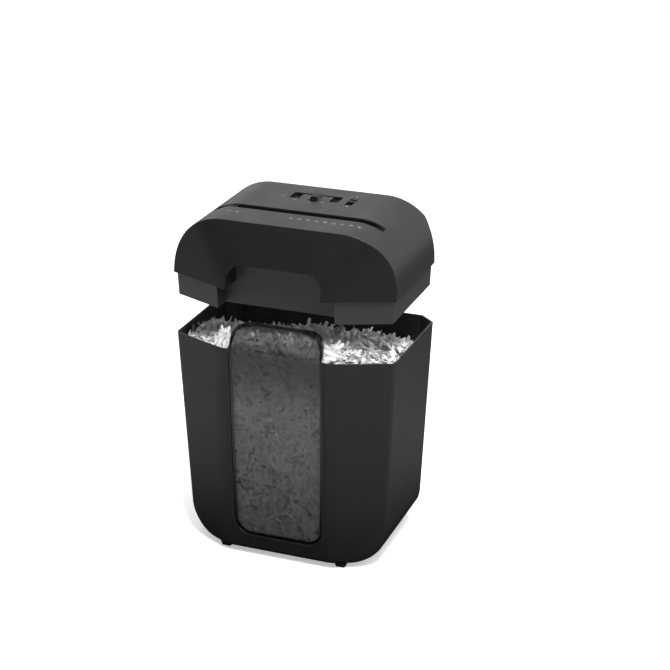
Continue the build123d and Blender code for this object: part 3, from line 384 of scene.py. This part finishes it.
# ---- Paper shreds ----
# The bin is full of cross-cut strips about 5 mm wide and up to 42 mm long, curled by the cutters. They
# lie every way on a heap that rises a little above the rim, and press against the window.
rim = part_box("bin_shell")[1].z
bin_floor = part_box("bin_feet")[1].z
side_taper, end_taper = 0.047, 0.019
centre_half, side_half, rear_half = 86.0 * mm, 169.6 * mm, 147.0 * mm
front_y, facet_y, side_rear_y, rear_y = -109.3 * mm, -75.3 * mm, 95.0 * mm, 115.4 * mm
tab_lean = 0.427
wall_gaps = np.array([5.4, 7.4, 6.6, 5.4, 6.6, 7.4, 5.4, 4.8]) * mm
paper_random = np.random.default_rng(41)


def bin_corners(height):
    """The eight corners of the bin's octagon at each height, as an (8, 2, n) array: every corner moves
    in by a fixed share of its drop below the rim."""
    drop = np.clip(rim - height, 0.0, None)
    side = side_half - side_taper * drop
    end = end_taper * drop
    right = [
        (centre_half + 0.0 * drop, front_y + end), (side, facet_y + end),
        (side, side_rear_y - end), (side - side_half + rear_half, rear_y - end),
    ]
    return np.array(right + [(-x, y) for x, y in reversed(right)])


def wall_depths(points):
    """For each wall in turn: its inward normals and how far inside it each point lies."""
    corners = bin_corners(points[:, 2])
    for k in range(8):
        start, end = corners[k], corners[(k + 1) % 8]
        along = (end - start) / np.linalg.norm(end - start, axis=0)
        inward = np.stack([-along[1], along[0]], axis=1)
        yield inward, ((points[:, :2] - start.T) * inward).sum(axis=1)


def press_inside(points):
    """Points nearer to a wall than its gap move straight back to the gap, as paper flattens on a wall."""
    for (inward, depth), gap in zip(wall_depths(points), wall_gaps):
        points[:, :2] += inward * np.clip(gap - depth, 0.0, None)[:, None]
    behind_tab = front_y + tab_lean * np.clip(points[:, 2] - rim, 0.0, None) + wall_gaps[-1]
    points[:, 1] = np.maximum(points[:, 1], behind_tab)
    points[:, 2] = np.maximum(points[:, 2], bin_floor + 0.5 * mm)
    return points


lump_places = paper_random.uniform((-0.16, -0.11), (0.16, 0.11), (26, 2))
lump_tall = paper_random.uniform(-6.0, 6.0, 26) * mm
lump_wide = paper_random.uniform(18.0, 38.0, 26) * mm


def heap_height(x, y):
    """Height of the heap: 3 mm over the rim in the middle, a little higher on the right, lower at the ends
    and the front, and deep behind, plus a sum of round lumps and hollows."""
    dome = rim + 3.0 * mm + 5.0 * mm * np.tanh(x / 0.05) - 10.0 * mm * (x / 0.16) ** 4
    dome = dome - 46.0 * mm * np.clip((y + 0.03) / 0.12, 0.0, None) ** 1.3
    dome = dome - 6.0 * mm * np.clip(-y / 0.105, 0.0, None) ** 4
    away = (x[..., None] - lump_places[:, 0]) ** 2 + (y[..., None] - lump_places[:, 1]) ** 2
    return dome + (lump_tall * np.exp(-away / lump_wide ** 2)).sum(axis=-1)


def mesh_from_quads(name, points, quads):
    """A mesh from an (n, 3) array of points and an (m, 4) array of corners."""
    mesh = bpy.data.meshes.new(name)
    mesh.vertices.add(len(points))
    mesh.vertices.foreach_set("co", points.astype(np.float32).ravel())
    mesh.loops.add(quads.size)
    mesh.loops.foreach_set("vertex_index", quads.astype(np.int32).ravel())
    mesh.polygons.add(len(quads))
    mesh.polygons.foreach_set("loop_start", np.arange(0, quads.size, 4, dtype=np.int32))
    mesh.update(calc_edges=True)
    return mesh


def add_piece(name, mesh, material, body):
    """A new piece from a mesh, riding on a CAD body."""
    mesh.materials.append(material)
    piece = bpy.data.objects.new(name, mesh)
    scene.collection.objects.link(piece)
    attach(piece, body)
    return piece


def curled_strips(name, places, facings, shortest, longest, curled=1.4):
    """Closed paper ribbons, one at each place, with their flat sides towards facings.

    A strip's centre line has the heading curl * s + wave * sin(1.3 turns * s + phase) at the share s of
    its length, and its points are the running sum of that heading's cosine and sine. Its cross-section,
    four corners a paper's thickness apart, turns by twist * s about the line and narrows at cut ends."""
    count, sections = len(places), 7
    length = paper_random.uniform(shortest, longest, count)[:, None]
    width = paper_random.uniform(4.3, 5.4, count)[:, None] * mm
    thick = 0.12 * mm
    share = np.linspace(-0.5, 0.5, sections)[None, :]
    curl = paper_random.normal(0.0, curled, count)[:, None]
    wave = paper_random.normal(0.0, 0.3, count)[:, None]
    phase = paper_random.uniform(0.0, 2.0 * math.pi, count)[:, None]
    twist = paper_random.normal(0.0, 0.7, count)[:, None] * share
    heading = curl * share + wave * np.sin(2.6 * math.pi * share + phase)
    step = length / (sections - 1)
    ahead = np.stack([np.cos(heading), np.zeros_like(heading), np.sin(heading)], axis=2)
    line = np.zeros_like(ahead)
    line[:, 1:] = np.cumsum((ahead[:, 1:] + ahead[:, :-1]) / 2.0 * step[:, :, None], axis=1)
    line -= line.mean(axis=1, keepdims=True)
    lift = np.stack([-np.sin(heading), np.zeros_like(heading), np.cos(heading)], axis=2)
    across = np.array([0.0, 1.0, 0.0])
    side = np.cos(twist)[:, :, None] * across + np.sin(twist)[:, :, None] * lift
    up = -np.sin(twist)[:, :, None] * across + np.cos(twist)[:, :, None] * lift
    cut = paper_random.uniform(0.0, 0.75, count)[:, None]
    half = width / 2.0 * (1.0 - cut * np.abs(2.0 * share) ** 10)
    side, up = side * half[:, :, None], up * thick / 2.0
    local = np.stack([line + side + up, line - side + up, line - side - up, line + side - up], axis=2)

    facings = facings / np.linalg.norm(facings, axis=1, keepdims=True)
    first = np.cross(facings, paper_random.normal(size=(count, 3)))
    first /= np.linalg.norm(first, axis=1, keepdims=True)
    frames = np.stack([first, np.cross(facings, first), facings], axis=1)
    points = np.einsum("nksj,njd->nksd", local, frames) + places[:, None, None, :]
    points = press_inside(points.reshape(-1, 3))

    base = (np.arange(count) * sections * 4)[:, None, None]
    ring = (np.arange(sections - 1) * 4)[None, :, None]
    corner = np.arange(4)[None, None, :]
    after = (corner + 1) % 4
    sides = np.stack([base + ring + corner, base + ring + after, base + ring + 4 + after,
                      base + ring + 4 + corner], axis=3).reshape(-1, 4)
    starts = base[:, :, 0] + np.array([[0, 3, 2, 1]])
    ends = base[:, :, 0] + (sections - 1) * 4 + np.array([[0, 1, 2, 3]])
    quads = np.concatenate([sides, starts, ends])
    mesh = mesh_from_quads(name, points, quads)

    shade = np.clip(paper_random.normal(0.90, 0.03, count), 0.8, 0.95)
    grey = paper_random.random(count)
    shade = np.where(grey < 0.12, shade * paper_random.uniform(0.5, 0.85, count), shade)
    shade = np.where(grey < 0.02, shade * 0.5, shade)
    warm = np.where(paper_random.random(count) < 0.06, 0.86, 1.0)
    colours = np.stack([shade, shade * (0.5 + 0.5 * warm), shade * warm, np.ones(count)], axis=1)
    paper = mesh.color_attributes.new("paper", "FLOAT_COLOR", "POINT")
    paper.data.foreach_set("color", np.repeat(colours, sections * 4, axis=0).astype(np.float32).ravel())

    shift = paper_random.uniform(0.0, 3.0, (count, 1, 2))
    lengthwise = np.broadcast_to((share * length)[:, :, None], (count, sections, 4))
    crosswise = half[:, :, None] * np.array([1.0, -1.0, -1.0, 1.0])
    flat = (np.stack([lengthwise, crosswise], axis=3) + shift[:, :, None, :]).reshape(-1, 2)
    uv = mesh.uv_layers.new(name="strip")
    uv.data.foreach_set("uv", flat[quads.ravel()].astype(np.float32).ravel())
    mesh.polygons.foreach_set("use_smooth", np.ones(len(quads), dtype=bool))
    mesh.set_sharp_from_angle(angle=math.radians(50.0))
    return mesh


# Office paper: the strip's own shade, broken grey dashes where it was printed, and a soft fibre bump.
office_paper, paper_tree, paper_shader = new_material("office_paper", 0.25)
strip_colour = node(paper_tree, "ShaderNodeAttribute", attribute_name="paper").outputs["Color"]
strip_uv = node(paper_tree, "ShaderNodeUVMap", uv_map="strip").outputs["UV"]
dash_place = node(paper_tree, "ShaderNodeMapping", {
    "Vector": strip_uv, "Scale": (0.55, 1.6, 1.0),
}).outputs["Vector"]
dashes = ramp(paper_tree, noise(paper_tree, dash_place, 900.0, 1.0), 0.54, 0.60)
printed = ramp(paper_tree, noise(paper_tree, strip_uv, 14.0, 1.0), 0.50, 0.56)
ink = arithmetic(paper_tree, "MULTIPLY", arithmetic(paper_tree, "MULTIPLY", dashes, printed), 0.40)
paper_tree.links.new(
    blend_colour(paper_tree, ink, strip_colour, (0.16, 0.16, 0.17)), paper_shader.inputs["Base Color"]
)
paper_shader.inputs["Roughness"].default_value = 0.85
fibres = noise(paper_tree, strip_uv, 2600.0, 2.0)
fibre_bump = node(paper_tree, "ShaderNodeBump", {"Strength": 0.3, "Distance": 0.05 * mm, "Height": fibres})
paper_tree.links.new(fibre_bump.outputs["Normal"], paper_shader.inputs["Normal"])


def inside_heap(count, margin):
    """Random places over the heap, at least margin inside every wall."""
    spots = paper_random.uniform((-0.165, -0.11), (0.165, 0.115), (count * 2, 2))
    spots = np.column_stack([spots, np.full(len(spots), rim)])
    nearest = np.min([depth for _, depth in wall_depths(spots)], axis=0)
    return spots[nearest > margin][:count]


def heap_facings(places, spread):
    """The heap's own slope at each place, tilted at random."""
    x, y = places[:, 0], places[:, 1]
    near = 3.0 * mm
    slope_x = (heap_height(x + near, y) - heap_height(x - near, y)) / (2.0 * near)
    slope_y = (heap_height(x, y + near) - heap_height(x, y - near)) / (2.0 * near)
    level = np.column_stack([-slope_x, -slope_y, np.ones(len(places))])
    return level + paper_random.normal(0.0, spread, (len(places), 3))


heap_places = inside_heap(3300, 7.0 * mm)
heap_places[:, 2] = heap_height(heap_places[:, 0], heap_places[:, 1])
heap_places[:, 2] -= paper_random.uniform(0.0, 17.0, len(heap_places)) * mm
shred_heap = add_piece(
    "shred_heap", curled_strips("shred_heap", heap_places, heap_facings(heap_places, 0.46), 24 * mm, 42 * mm),
    office_paper, "bin"
)

loose_places = inside_heap(420, 12.0 * mm)
loose_places[:, 2] = heap_height(loose_places[:, 0], loose_places[:, 1]) + 1.0 * mm
loose_facings = heap_facings(loose_places, 0.9)
loose_shreds = add_piece(
    "loose_shreds", curled_strips("loose_shreds", loose_places, loose_facings, 22 * mm, 34 * mm, 1.8),
    office_paper, "bin"
)

window_count = 3600
window_places = np.column_stack([
    paper_random.uniform(-88.0, 88.0, window_count) * mm,
    np.zeros(window_count),
    paper_random.uniform(14.0, 346.0, window_count) * mm,
])
window_places[:, 1] = front_y + end_taper * (rim - window_places[:, 2]) + wall_gaps[-1]
window_places[:, 1] += tab_lean * np.clip(window_places[:, 2] - rim, 0.0, None)
window_places[:, 1] += paper_random.uniform(0.5, 15.0, window_count) * mm
window_facings = np.array([0.0, -1.0, 0.0]) + paper_random.normal(0.0, 0.22, (window_count, 3))
window_shreds = add_piece(
    "window_shreds", curled_strips("window_shreds", window_places, window_facings, 26 * mm, 42 * mm),
    office_paper, "bin"
)


def packed_core():
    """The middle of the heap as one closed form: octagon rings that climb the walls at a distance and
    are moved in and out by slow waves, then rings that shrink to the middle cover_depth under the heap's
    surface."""
    per_side, climbing, closing = 14, 34, 22
    cover_depth = 15.0 * mm
    climb = np.linspace(bin_floor + 3.0 * mm, rim - 22.0 * mm, climbing)
    share = np.arange(per_side) / per_side
    rings = []
    for height in climb:
        corners = bin_corners(np.full(1, height))[:, :, 0]
        following = np.roll(corners, -1, axis=0)
        ring = (corners[:, None] + (following - corners)[:, None] * share[None, :, None]).reshape(-1, 2)
        corner_room = 1.0 - 0.42 * np.clip(1.0 - (height - bin_floor) / (52.0 * mm), 0.0, 1.0) ** 2
        ring = ring * np.array([0.91 * corner_room, 0.855])
        top = np.minimum(climb[-1], heap_height(ring[:, 0], ring[:, 1]) - cover_depth)
        rise = (height - climb[0]) / (climb[-1] - climb[0])
        rings.append(np.column_stack([ring, climb[0] + (top - climb[0]) * rise]))
    outer = rings[-1][:, :2]
    for shrink in np.linspace(0.97, 0.03, closing):
        spots = outer * shrink
        rings.append(np.column_stack([spots, heap_height(spots[:, 0], spots[:, 1]) - cover_depth]))
    points = np.array(rings)
    ripple = np.sin(points[..., 2] * 170.0 + points[..., 0] * 90.0) * np.cos(points[..., 0] * 140.0)
    points[:climbing, :, :2] *= 1.0 + 0.015 * ripple[:climbing, :, None]
    count = points.shape[1]
    level = np.arange(len(points) - 1)[:, None] * count
    around = np.arange(count)[None, :]
    after = (around + 1) % count
    quads = np.stack([level + around, level + after, level + count + after, level + count + around], axis=2)
    top = [(len(points) - 1) * count + k for k in range(count)]
    bottom = list(range(count - 1, -1, -1))
    mesh = bpy.data.meshes.new("packed_paper")
    mesh.from_pydata(points.reshape(-1, 3).tolist(), [], quads.reshape(-1, 4).tolist() + [top, bottom])
    mesh.update()
    return mesh


# Packed paper: the same paper seen as a crumpled mass, in streaks as long as a strip, painted dark to mid grey
# as shade in the mass.
packed_paper, packed_tree, packed_shader = new_material("packed_paper", 0.2)
packed_place = node(packed_tree, "ShaderNodeTexCoord").outputs["Object"]
streaks = noise(packed_tree, packed_place, 130.0, 4.0, 0.65, 1.5)
# Painted shade: white paper coloured dark to mid grey, darkest where the streaks' bump is lowest.
packed_tree.links.new(
    blend_colour(packed_tree, ramp(packed_tree, streaks, 0.35, 0.65), (0.14, 0.14, 0.14), (0.58, 0.57, 0.56)),
    packed_shader.inputs["Base Color"]
)
packed_shader.inputs["Roughness"].default_value = 0.9
packed_bump = node(packed_tree, "ShaderNodeBump", {"Strength": 0.8, "Distance": 2.0 * mm, "Height": streaks})
packed_tree.links.new(packed_bump.outputs["Normal"], packed_shader.inputs["Normal"])
packed_core_piece = add_piece("packed_paper", packed_core(), packed_paper, "bin")

for paper_piece in (shred_heap, loose_shreds, window_shreds, packed_core_piece):
    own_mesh(paper_piece)


# ---- Head cover ----
# The top moulding in black ABS with a satin grain, a little glossier than the bin.
cover_black = moulded("cover_black", (0.0078, 0.0081, 0.0087), (0.36, 0.39), specular=0.30,
                       grain=0.45, edge=0.9, dust=0.03)
finish(cover_black, "head_cover")


# ---- Print on the cover ----
# Pad-printed marks in light grey ink: a row of plain warning marks in front of the slot, and small marks
# beside the slides and lamps. Each line is a thin closed ribbon that lies on the cover.
def ring(x, y, radius, sides=14):
    """A closed round line."""
    turn = np.arange(sides) * 2.0 * math.pi / sides
    return np.column_stack([x + radius * np.cos(turn), y + radius * np.sin(turn)]), True


def frame_line(x, y, wide, deep):
    """A closed rectangular line about (x, y)."""
    return np.array([(x - wide / 2, y - deep / 2), (x + wide / 2, y - deep / 2),
                     (x + wide / 2, y + deep / 2), (x - wide / 2, y + deep / 2)]), True


def open_line(*points):
    """A line through the points."""
    return np.array(points, dtype=float), False


def on_cover(points):
    """Height of the cover's outside over each (x, y), in metres."""
    heights = []
    for x, y in points:
        hit, place, _, _ = nodes["head_cover"].ray_cast((x, y, cad_high.z + 0.1), (0.0, 0.0, -1.0))
        heights.append(place.z if hit else cad_high.z)
    return np.array(heights)


def ribbon(line, closed, wide):
    """The points and quads of a line, mitred at its corners: each corner moves out by n * w / |n|^2, where n
    is the sum of the normals of its two sides."""
    line = line * mm
    ahead = np.roll(line, -1, axis=0) - line
    if not closed:
        ahead[-1] = ahead[-2]
    normal = np.column_stack([-ahead[:, 1], ahead[:, 0]]) / np.linalg.norm(ahead, axis=1)[:, None]
    before = np.roll(normal, 1, axis=0)
    if not closed:
        before[0] = normal[0]
    both = normal + before
    out = both * wide / (both ** 2).sum(axis=1)[:, None]
    left, right = line + out, line - out
    left_z, right_z = on_cover(left), on_cover(right)
    high, low = 0.05 * mm, -0.03 * mm
    rows = np.stack([
        np.column_stack([left, left_z + high]), np.column_stack([left, left_z + low]),
        np.column_stack([right, right_z + low]), np.column_stack([right, right_z + high]),
    ], axis=1)
    count = len(line)
    here = np.arange(count if closed else count - 1)[:, None] * 4
    there = (here + 4) % (count * 4)
    corner = np.arange(4)[None, :]
    after = (corner + 1) % 4
    quads = np.stack([here + corner, here + after, there + after, there + corner], axis=2).reshape(-1, 4)
    if not closed:
        last = (count - 1) * 4
        quads = np.vstack([quads, [[3, 2, 1, 0]], [[last, last + 1, last + 2, last + 3]]])
    return rows.reshape(-1, 3), quads


def warning_mark(x, y, kind):
    """One round mark of the row with a bar across it and a plain shape inside, or a triangle."""
    if kind == 0:
        return [(np.array([(x - 3.1, y - 2.4), (x + 3.1, y - 2.4), (x, y + 3.0)]), True),
                open_line((x, y - 1.2), (x, y + 0.9))]
    lines = [ring(x, y, 2.9), open_line((x - 2.0, y + 2.0), (x + 2.0, y - 2.0))]
    if kind % 4 == 1:
        lines.append(frame_line(x + 0.2, y, 1.8, 1.2))
    elif kind % 4 == 2:
        lines.append(open_line((x - 1.2, y - 0.8), (x - 0.2, y + 0.9), (x + 1.1, y + 0.3)))
    elif kind % 4 == 3:
        lines.append(ring(x + 0.3, y + 0.2, 0.9, 8))
    else:
        lines.append(frame_line(x, y, 1.0, 2.2))
    return lines


row_y, pair_y, line_wide = -40.0, -41.0, 0.55 * mm
printed_lines = []
for place_in_row, mark_x in enumerate(np.linspace(-1.0, 102.0, 9)):
    printed_lines += warning_mark(mark_x, row_y, place_in_row)
for mark_x in (-96.0, -84.5):
    printed_lines += [
        frame_line(mark_x, pair_y, 4.2, 3.0), open_line((mark_x - 1.2, pair_y), (mark_x + 1.2, pair_y))
    ]
printed_lines += [
    open_line((-28.5, 42.6), (-31.0, 41.0), (-28.5, 39.4)),
    open_line((-25.5, 42.6), (-28.0, 41.0), (-25.5, 39.4)),
    ring(-4.5, 41.0, 1.5), ring(14.5, 41.0, 1.5), open_line((14.5, 40.0), (14.5, 42.0)),
    open_line((-64.0, 49.0), (-61.0, 49.0)), ring(-51.5, 49.0, 1.3),
    frame_line(53.5, 37.5, 2.6, 2.0), open_line((52.6, 38.6), (52.6, 40.0), (54.4, 40.0), (54.4, 38.6)),
    frame_line(53.5, 81.0, 2.6, 2.0), open_line((52.6, 82.1), (52.6, 83.5), (54.4, 83.5)),
]
ribbons = [ribbon(line, closed, line_wide) for line, closed in printed_lines]
starts = np.cumsum([0] + [len(points) for points, _ in ribbons[:-1]])
print_mesh = mesh_from_quads(
    "cover_print", np.vstack([points for points, _ in ribbons]),
    np.vstack([quads + start for (_, quads), start in zip(ribbons, starts)])
)
print_grey, print_tree, print_shader = new_material("print_grey", 0.3)
print_place = node(print_tree, "ShaderNodeTexCoord").outputs["Object"]
print_wear = ramp(print_tree, noise(print_tree, print_place, 1400.0, 3.0, 0.6), 0.3, 0.5)
ink_grey = blend_colour(print_tree, print_wear, (0.12, 0.12, 0.12), (0.25, 0.25, 0.25))
print_tree.links.new(ink_grey, print_shader.inputs["Base Color"])
print_shader.inputs["Roughness"].default_value = 0.55
add_piece("cover_print", print_mesh, print_grey, "head")


# ---- Lower housing ----
# The plainer black moulding under the cover: the skirt that drops into the bin and the panel in the arch.
housing_black = moulded("housing_black", (0.020, 0.020, 0.0208), (0.43, 0.47), specular=0.5)
finish(housing_black, "lower_housing")


# ---- Paper guide ----
# Two dull black walls that lead the paper down from the slot, and the flag that feels it.
guide_black = moulded("guide_black", (0.006, 0.006, 0.006), (0.50, 0.55), specular=0.15)
finish(guide_black, "throat_guide", "paper_flag")


# ---- Slides, plunger, cord inlet and motor end ----
# Small mouldings in glass-filled nylon, finer and glossier than the cover.
control_black = moulded("control_black", (0.009, 0.009, 0.010), (0.42, 0.46), grain=0.35, specular=0.3)
finish(control_black, "mode_knob", "lock_slider", "safety_plunger", "cord_gland", "motor_end_cap")


# ---- Lamp windows ----
# Two clear polycarbonate light guides pressed into the cover from below.
lens_clear, lens_tree, lens_shader = new_material("lens_clear", 0.5)
lens_shader.inputs["Base Color"].default_value = (0.62, 0.66, 0.68, 1.0)
lens_shader.inputs["Transmission Weight"].default_value = 1.0
lens_shader.inputs["IOR"].default_value = 1.58
lens_place = node(lens_tree, "ShaderNodeTexCoord").outputs["Object"]
lens_haze = noise(lens_tree, lens_place, 900.0, 2.0)
lens_tree.links.new(ramp(lens_tree, lens_haze, 0.3, 0.7, 0.10, 0.22), lens_shader.inputs["Roughness"])
finish(lens_clear, "lamp_lenses")


# ---- Cutters and combs ----
# Hardened steel shafts milled from the bar, dark with oil and grey with paper dust, between plastic combs.
metal_group, metal_in, metal_out = new_group(
    "machined_metal", {"Along": 0.3, "Around": 8.0, "Stain": 14.0},
    {"Lines": "NodeSocketFloat", "Stains": "NodeSocketFloat"}
)
metal_place = node(metal_group, "ShaderNodeTexCoord").outputs["Object"]
along = arithmetic(metal_group, "DIVIDE", 1000.0, metal_in.outputs["Along"])
around = arithmetic(metal_group, "DIVIDE", 1000.0, metal_in.outputs["Around"])
stretch = node(metal_group, "ShaderNodeCombineXYZ", {"X": along, "Y": around, "Z": around}).outputs["Vector"]
stretched = node(metal_group, "ShaderNodeVectorMath", {
    0: metal_place, 1: stretch,
}, operation="MULTIPLY").outputs["Vector"]
metal_group.links.new(noise(metal_group, stretched, 1.0, 3.0, 0.6), metal_out.inputs["Lines"])
stain_scale = arithmetic(metal_group, "DIVIDE", 1000.0, metal_in.outputs["Stain"])
metal_group.links.new(noise(metal_group, metal_place, stain_scale, 4.0, 0.6), metal_out.inputs["Stains"])


def metal(name, colour, gloss, along=0.3, around=8.0, dirt=(0.05, 0.045, 0.04), soiled=0.35, dust=0.1):
    """Machined or rolled metal. along and around are the sizes of its tool marks in mm, and soiled is how
    much of the stains shows."""
    material, tree, shader = new_material(name, 0.5)
    marks = grouped(tree, metal_group, Along=along, Around=around)
    edges = grouped(tree, edge_group, Radius=0.15, Reach=0.6)
    stained = arithmetic(tree, "MULTIPLY", ramp(tree, marks["Stains"], 0.45, 0.75), soiled)
    dusty = grouped(tree, dust_group, Amount=dust)["Mask"]
    darker = tuple(0.82 * channel for channel in colour)
    streaks = blend_colour(tree, ramp(tree, marks["Lines"], 0.3, 0.7), darker, colour)
    paint = blend_colour(tree, stained, streaks, dirt)
    tree.links.new(blend_colour(tree, dusty, paint, paper_dust), shader.inputs["Base Color"])
    tree.links.new(arithmetic(tree, "SUBTRACT", 1.0, dusty, clamp=True), shader.inputs["Metallic"])
    rough = arithmetic(tree, "ADD", ramp(tree, marks["Lines"], 0.3, 0.7, *gloss), stained)
    tree.links.new(rough, shader.inputs["Roughness"])
    bump = node(tree, "ShaderNodeBump", {
        "Strength": 0.35, "Distance": 0.02 * mm, "Height": marks["Lines"], "Normal": edges["Normal"],
    })
    tree.links.new(bump.outputs["Normal"], shader.inputs["Normal"])
    return material


cutter_steel = metal("cutter_steel", (0.47, 0.46, 0.44), (0.26, 0.40), along=0.25, soiled=0.5, dust=0.45)
finish(cutter_steel, "front_cutter", "rear_cutter")
comb_black = moulded("comb_black", (0.016, 0.016, 0.017), (0.45, 0.6), dust=0.5)
finish(comb_black, "front_comb", "rear_comb")
bronze = metal("bronze", (0.60, 0.40, 0.20), (0.30, 0.42), dirt=(0.10, 0.05, 0.02))
finish(bronze, "cutter_bushes")


# ---- Gears ----
# Cream acetal wheels with a little dust, and sintered steel for the motor pinion and the final gear.
gear_nylon = moulded("gear_nylon", (0.66, 0.63, 0.54), (0.34, 0.46), scuff_and_highlight_gain=1.1, grain=0.9, scuff_and_highlight_share=0.2, dust=0.25)
finish(gear_nylon, "second_gear", "first_gear", "front_twin_gear", "rear_twin_gear")
gear_steel = metal("gear_steel", (0.42, 0.42, 0.43), (0.36, 0.50), along=0.8, around=0.8, soiled=0.5)
finish(gear_steel, "final_gear", "motor_pinion")


# ---- Frame plates, tie rods and pins ----
# Pressed galvanised steel sheet held apart by turned rods; the small pins are bright drawn wire.
plate_steel = metal("plate_steel", (0.56, 0.57, 0.58), (0.32, 0.46), along=5.0, around=1.2, soiled=0.2)
finish(plate_steel, "left_plate", "right_plate", "gear_plate")
rod_steel = metal("rod_steel", (0.58, 0.57, 0.55), (0.22, 0.34))
finish(rod_steel, "tie_rods", "gear_pins", "flag_pin")
spring_steel = metal("spring_steel", (0.50, 0.50, 0.50), (0.20, 0.30), along=1.0, around=1.0, soiled=0.1)
finish(spring_steel, "plunger_spring")
screw_steel = metal("screw_steel", (0.36, 0.36, 0.37), (0.28, 0.40), along=0.5, around=0.5)
finish(screw_steel, "housing_screws")


# ---- Motor ----
# A drawn and zinc-plated can round a rotor of enamelled copper and steel on one shaft.
motor_steel = metal("motor_steel", (0.50, 0.51, 0.52), (0.28, 0.38), along=6.0, around=6.0, soiled=0.15)
finish(motor_steel, "motor_can")
rotor_copper = metal("rotor_copper", (0.55, 0.25, 0.11), (0.26, 0.40), along=4.0, around=0.6)
finish(rotor_copper, "motor_rotor")


# ---- Control board and switches ----
# A green glass-fibre board with square-cornered copper tracks under the lacquer, and black moulded parts.
board_green, board_tree, board_shader = new_material("board_green", 0.5)
board_place = node(board_tree, "ShaderNodeTexCoord").outputs["Object"]
board_cells = node(board_tree, "ShaderNodeTexVoronoi", {
    "Vector": board_place, "Scale": 170.0,
}, distance="MANHATTAN").outputs["Distance"]
track_edge = ramp(board_tree, board_cells, 0.44, 0.47)
track = arithmetic(board_tree, "MULTIPLY", track_edge, ramp(board_tree, board_cells, 0.62, 0.59))
lacquer = blend_colour(board_tree, track, (0.012, 0.075, 0.030), (0.035, 0.16, 0.06))
board_tree.links.new(lacquer, board_shader.inputs["Base Color"])
board_shader.inputs["Roughness"].default_value = 0.32
track_bump = node(board_tree, "ShaderNodeBump", {"Strength": 0.4, "Distance": 0.04 * mm, "Height": track})
board_tree.links.new(track_bump.outputs["Normal"], board_shader.inputs["Normal"])
finish(board_green, "control_board")
component_black = moulded("component_black", (0.014, 0.014, 0.016), (0.30, 0.42), grain=0.3, dust=0.2)
finish(component_black, "board_parts", "mode_switch", "safety_switch", "paper_switch")
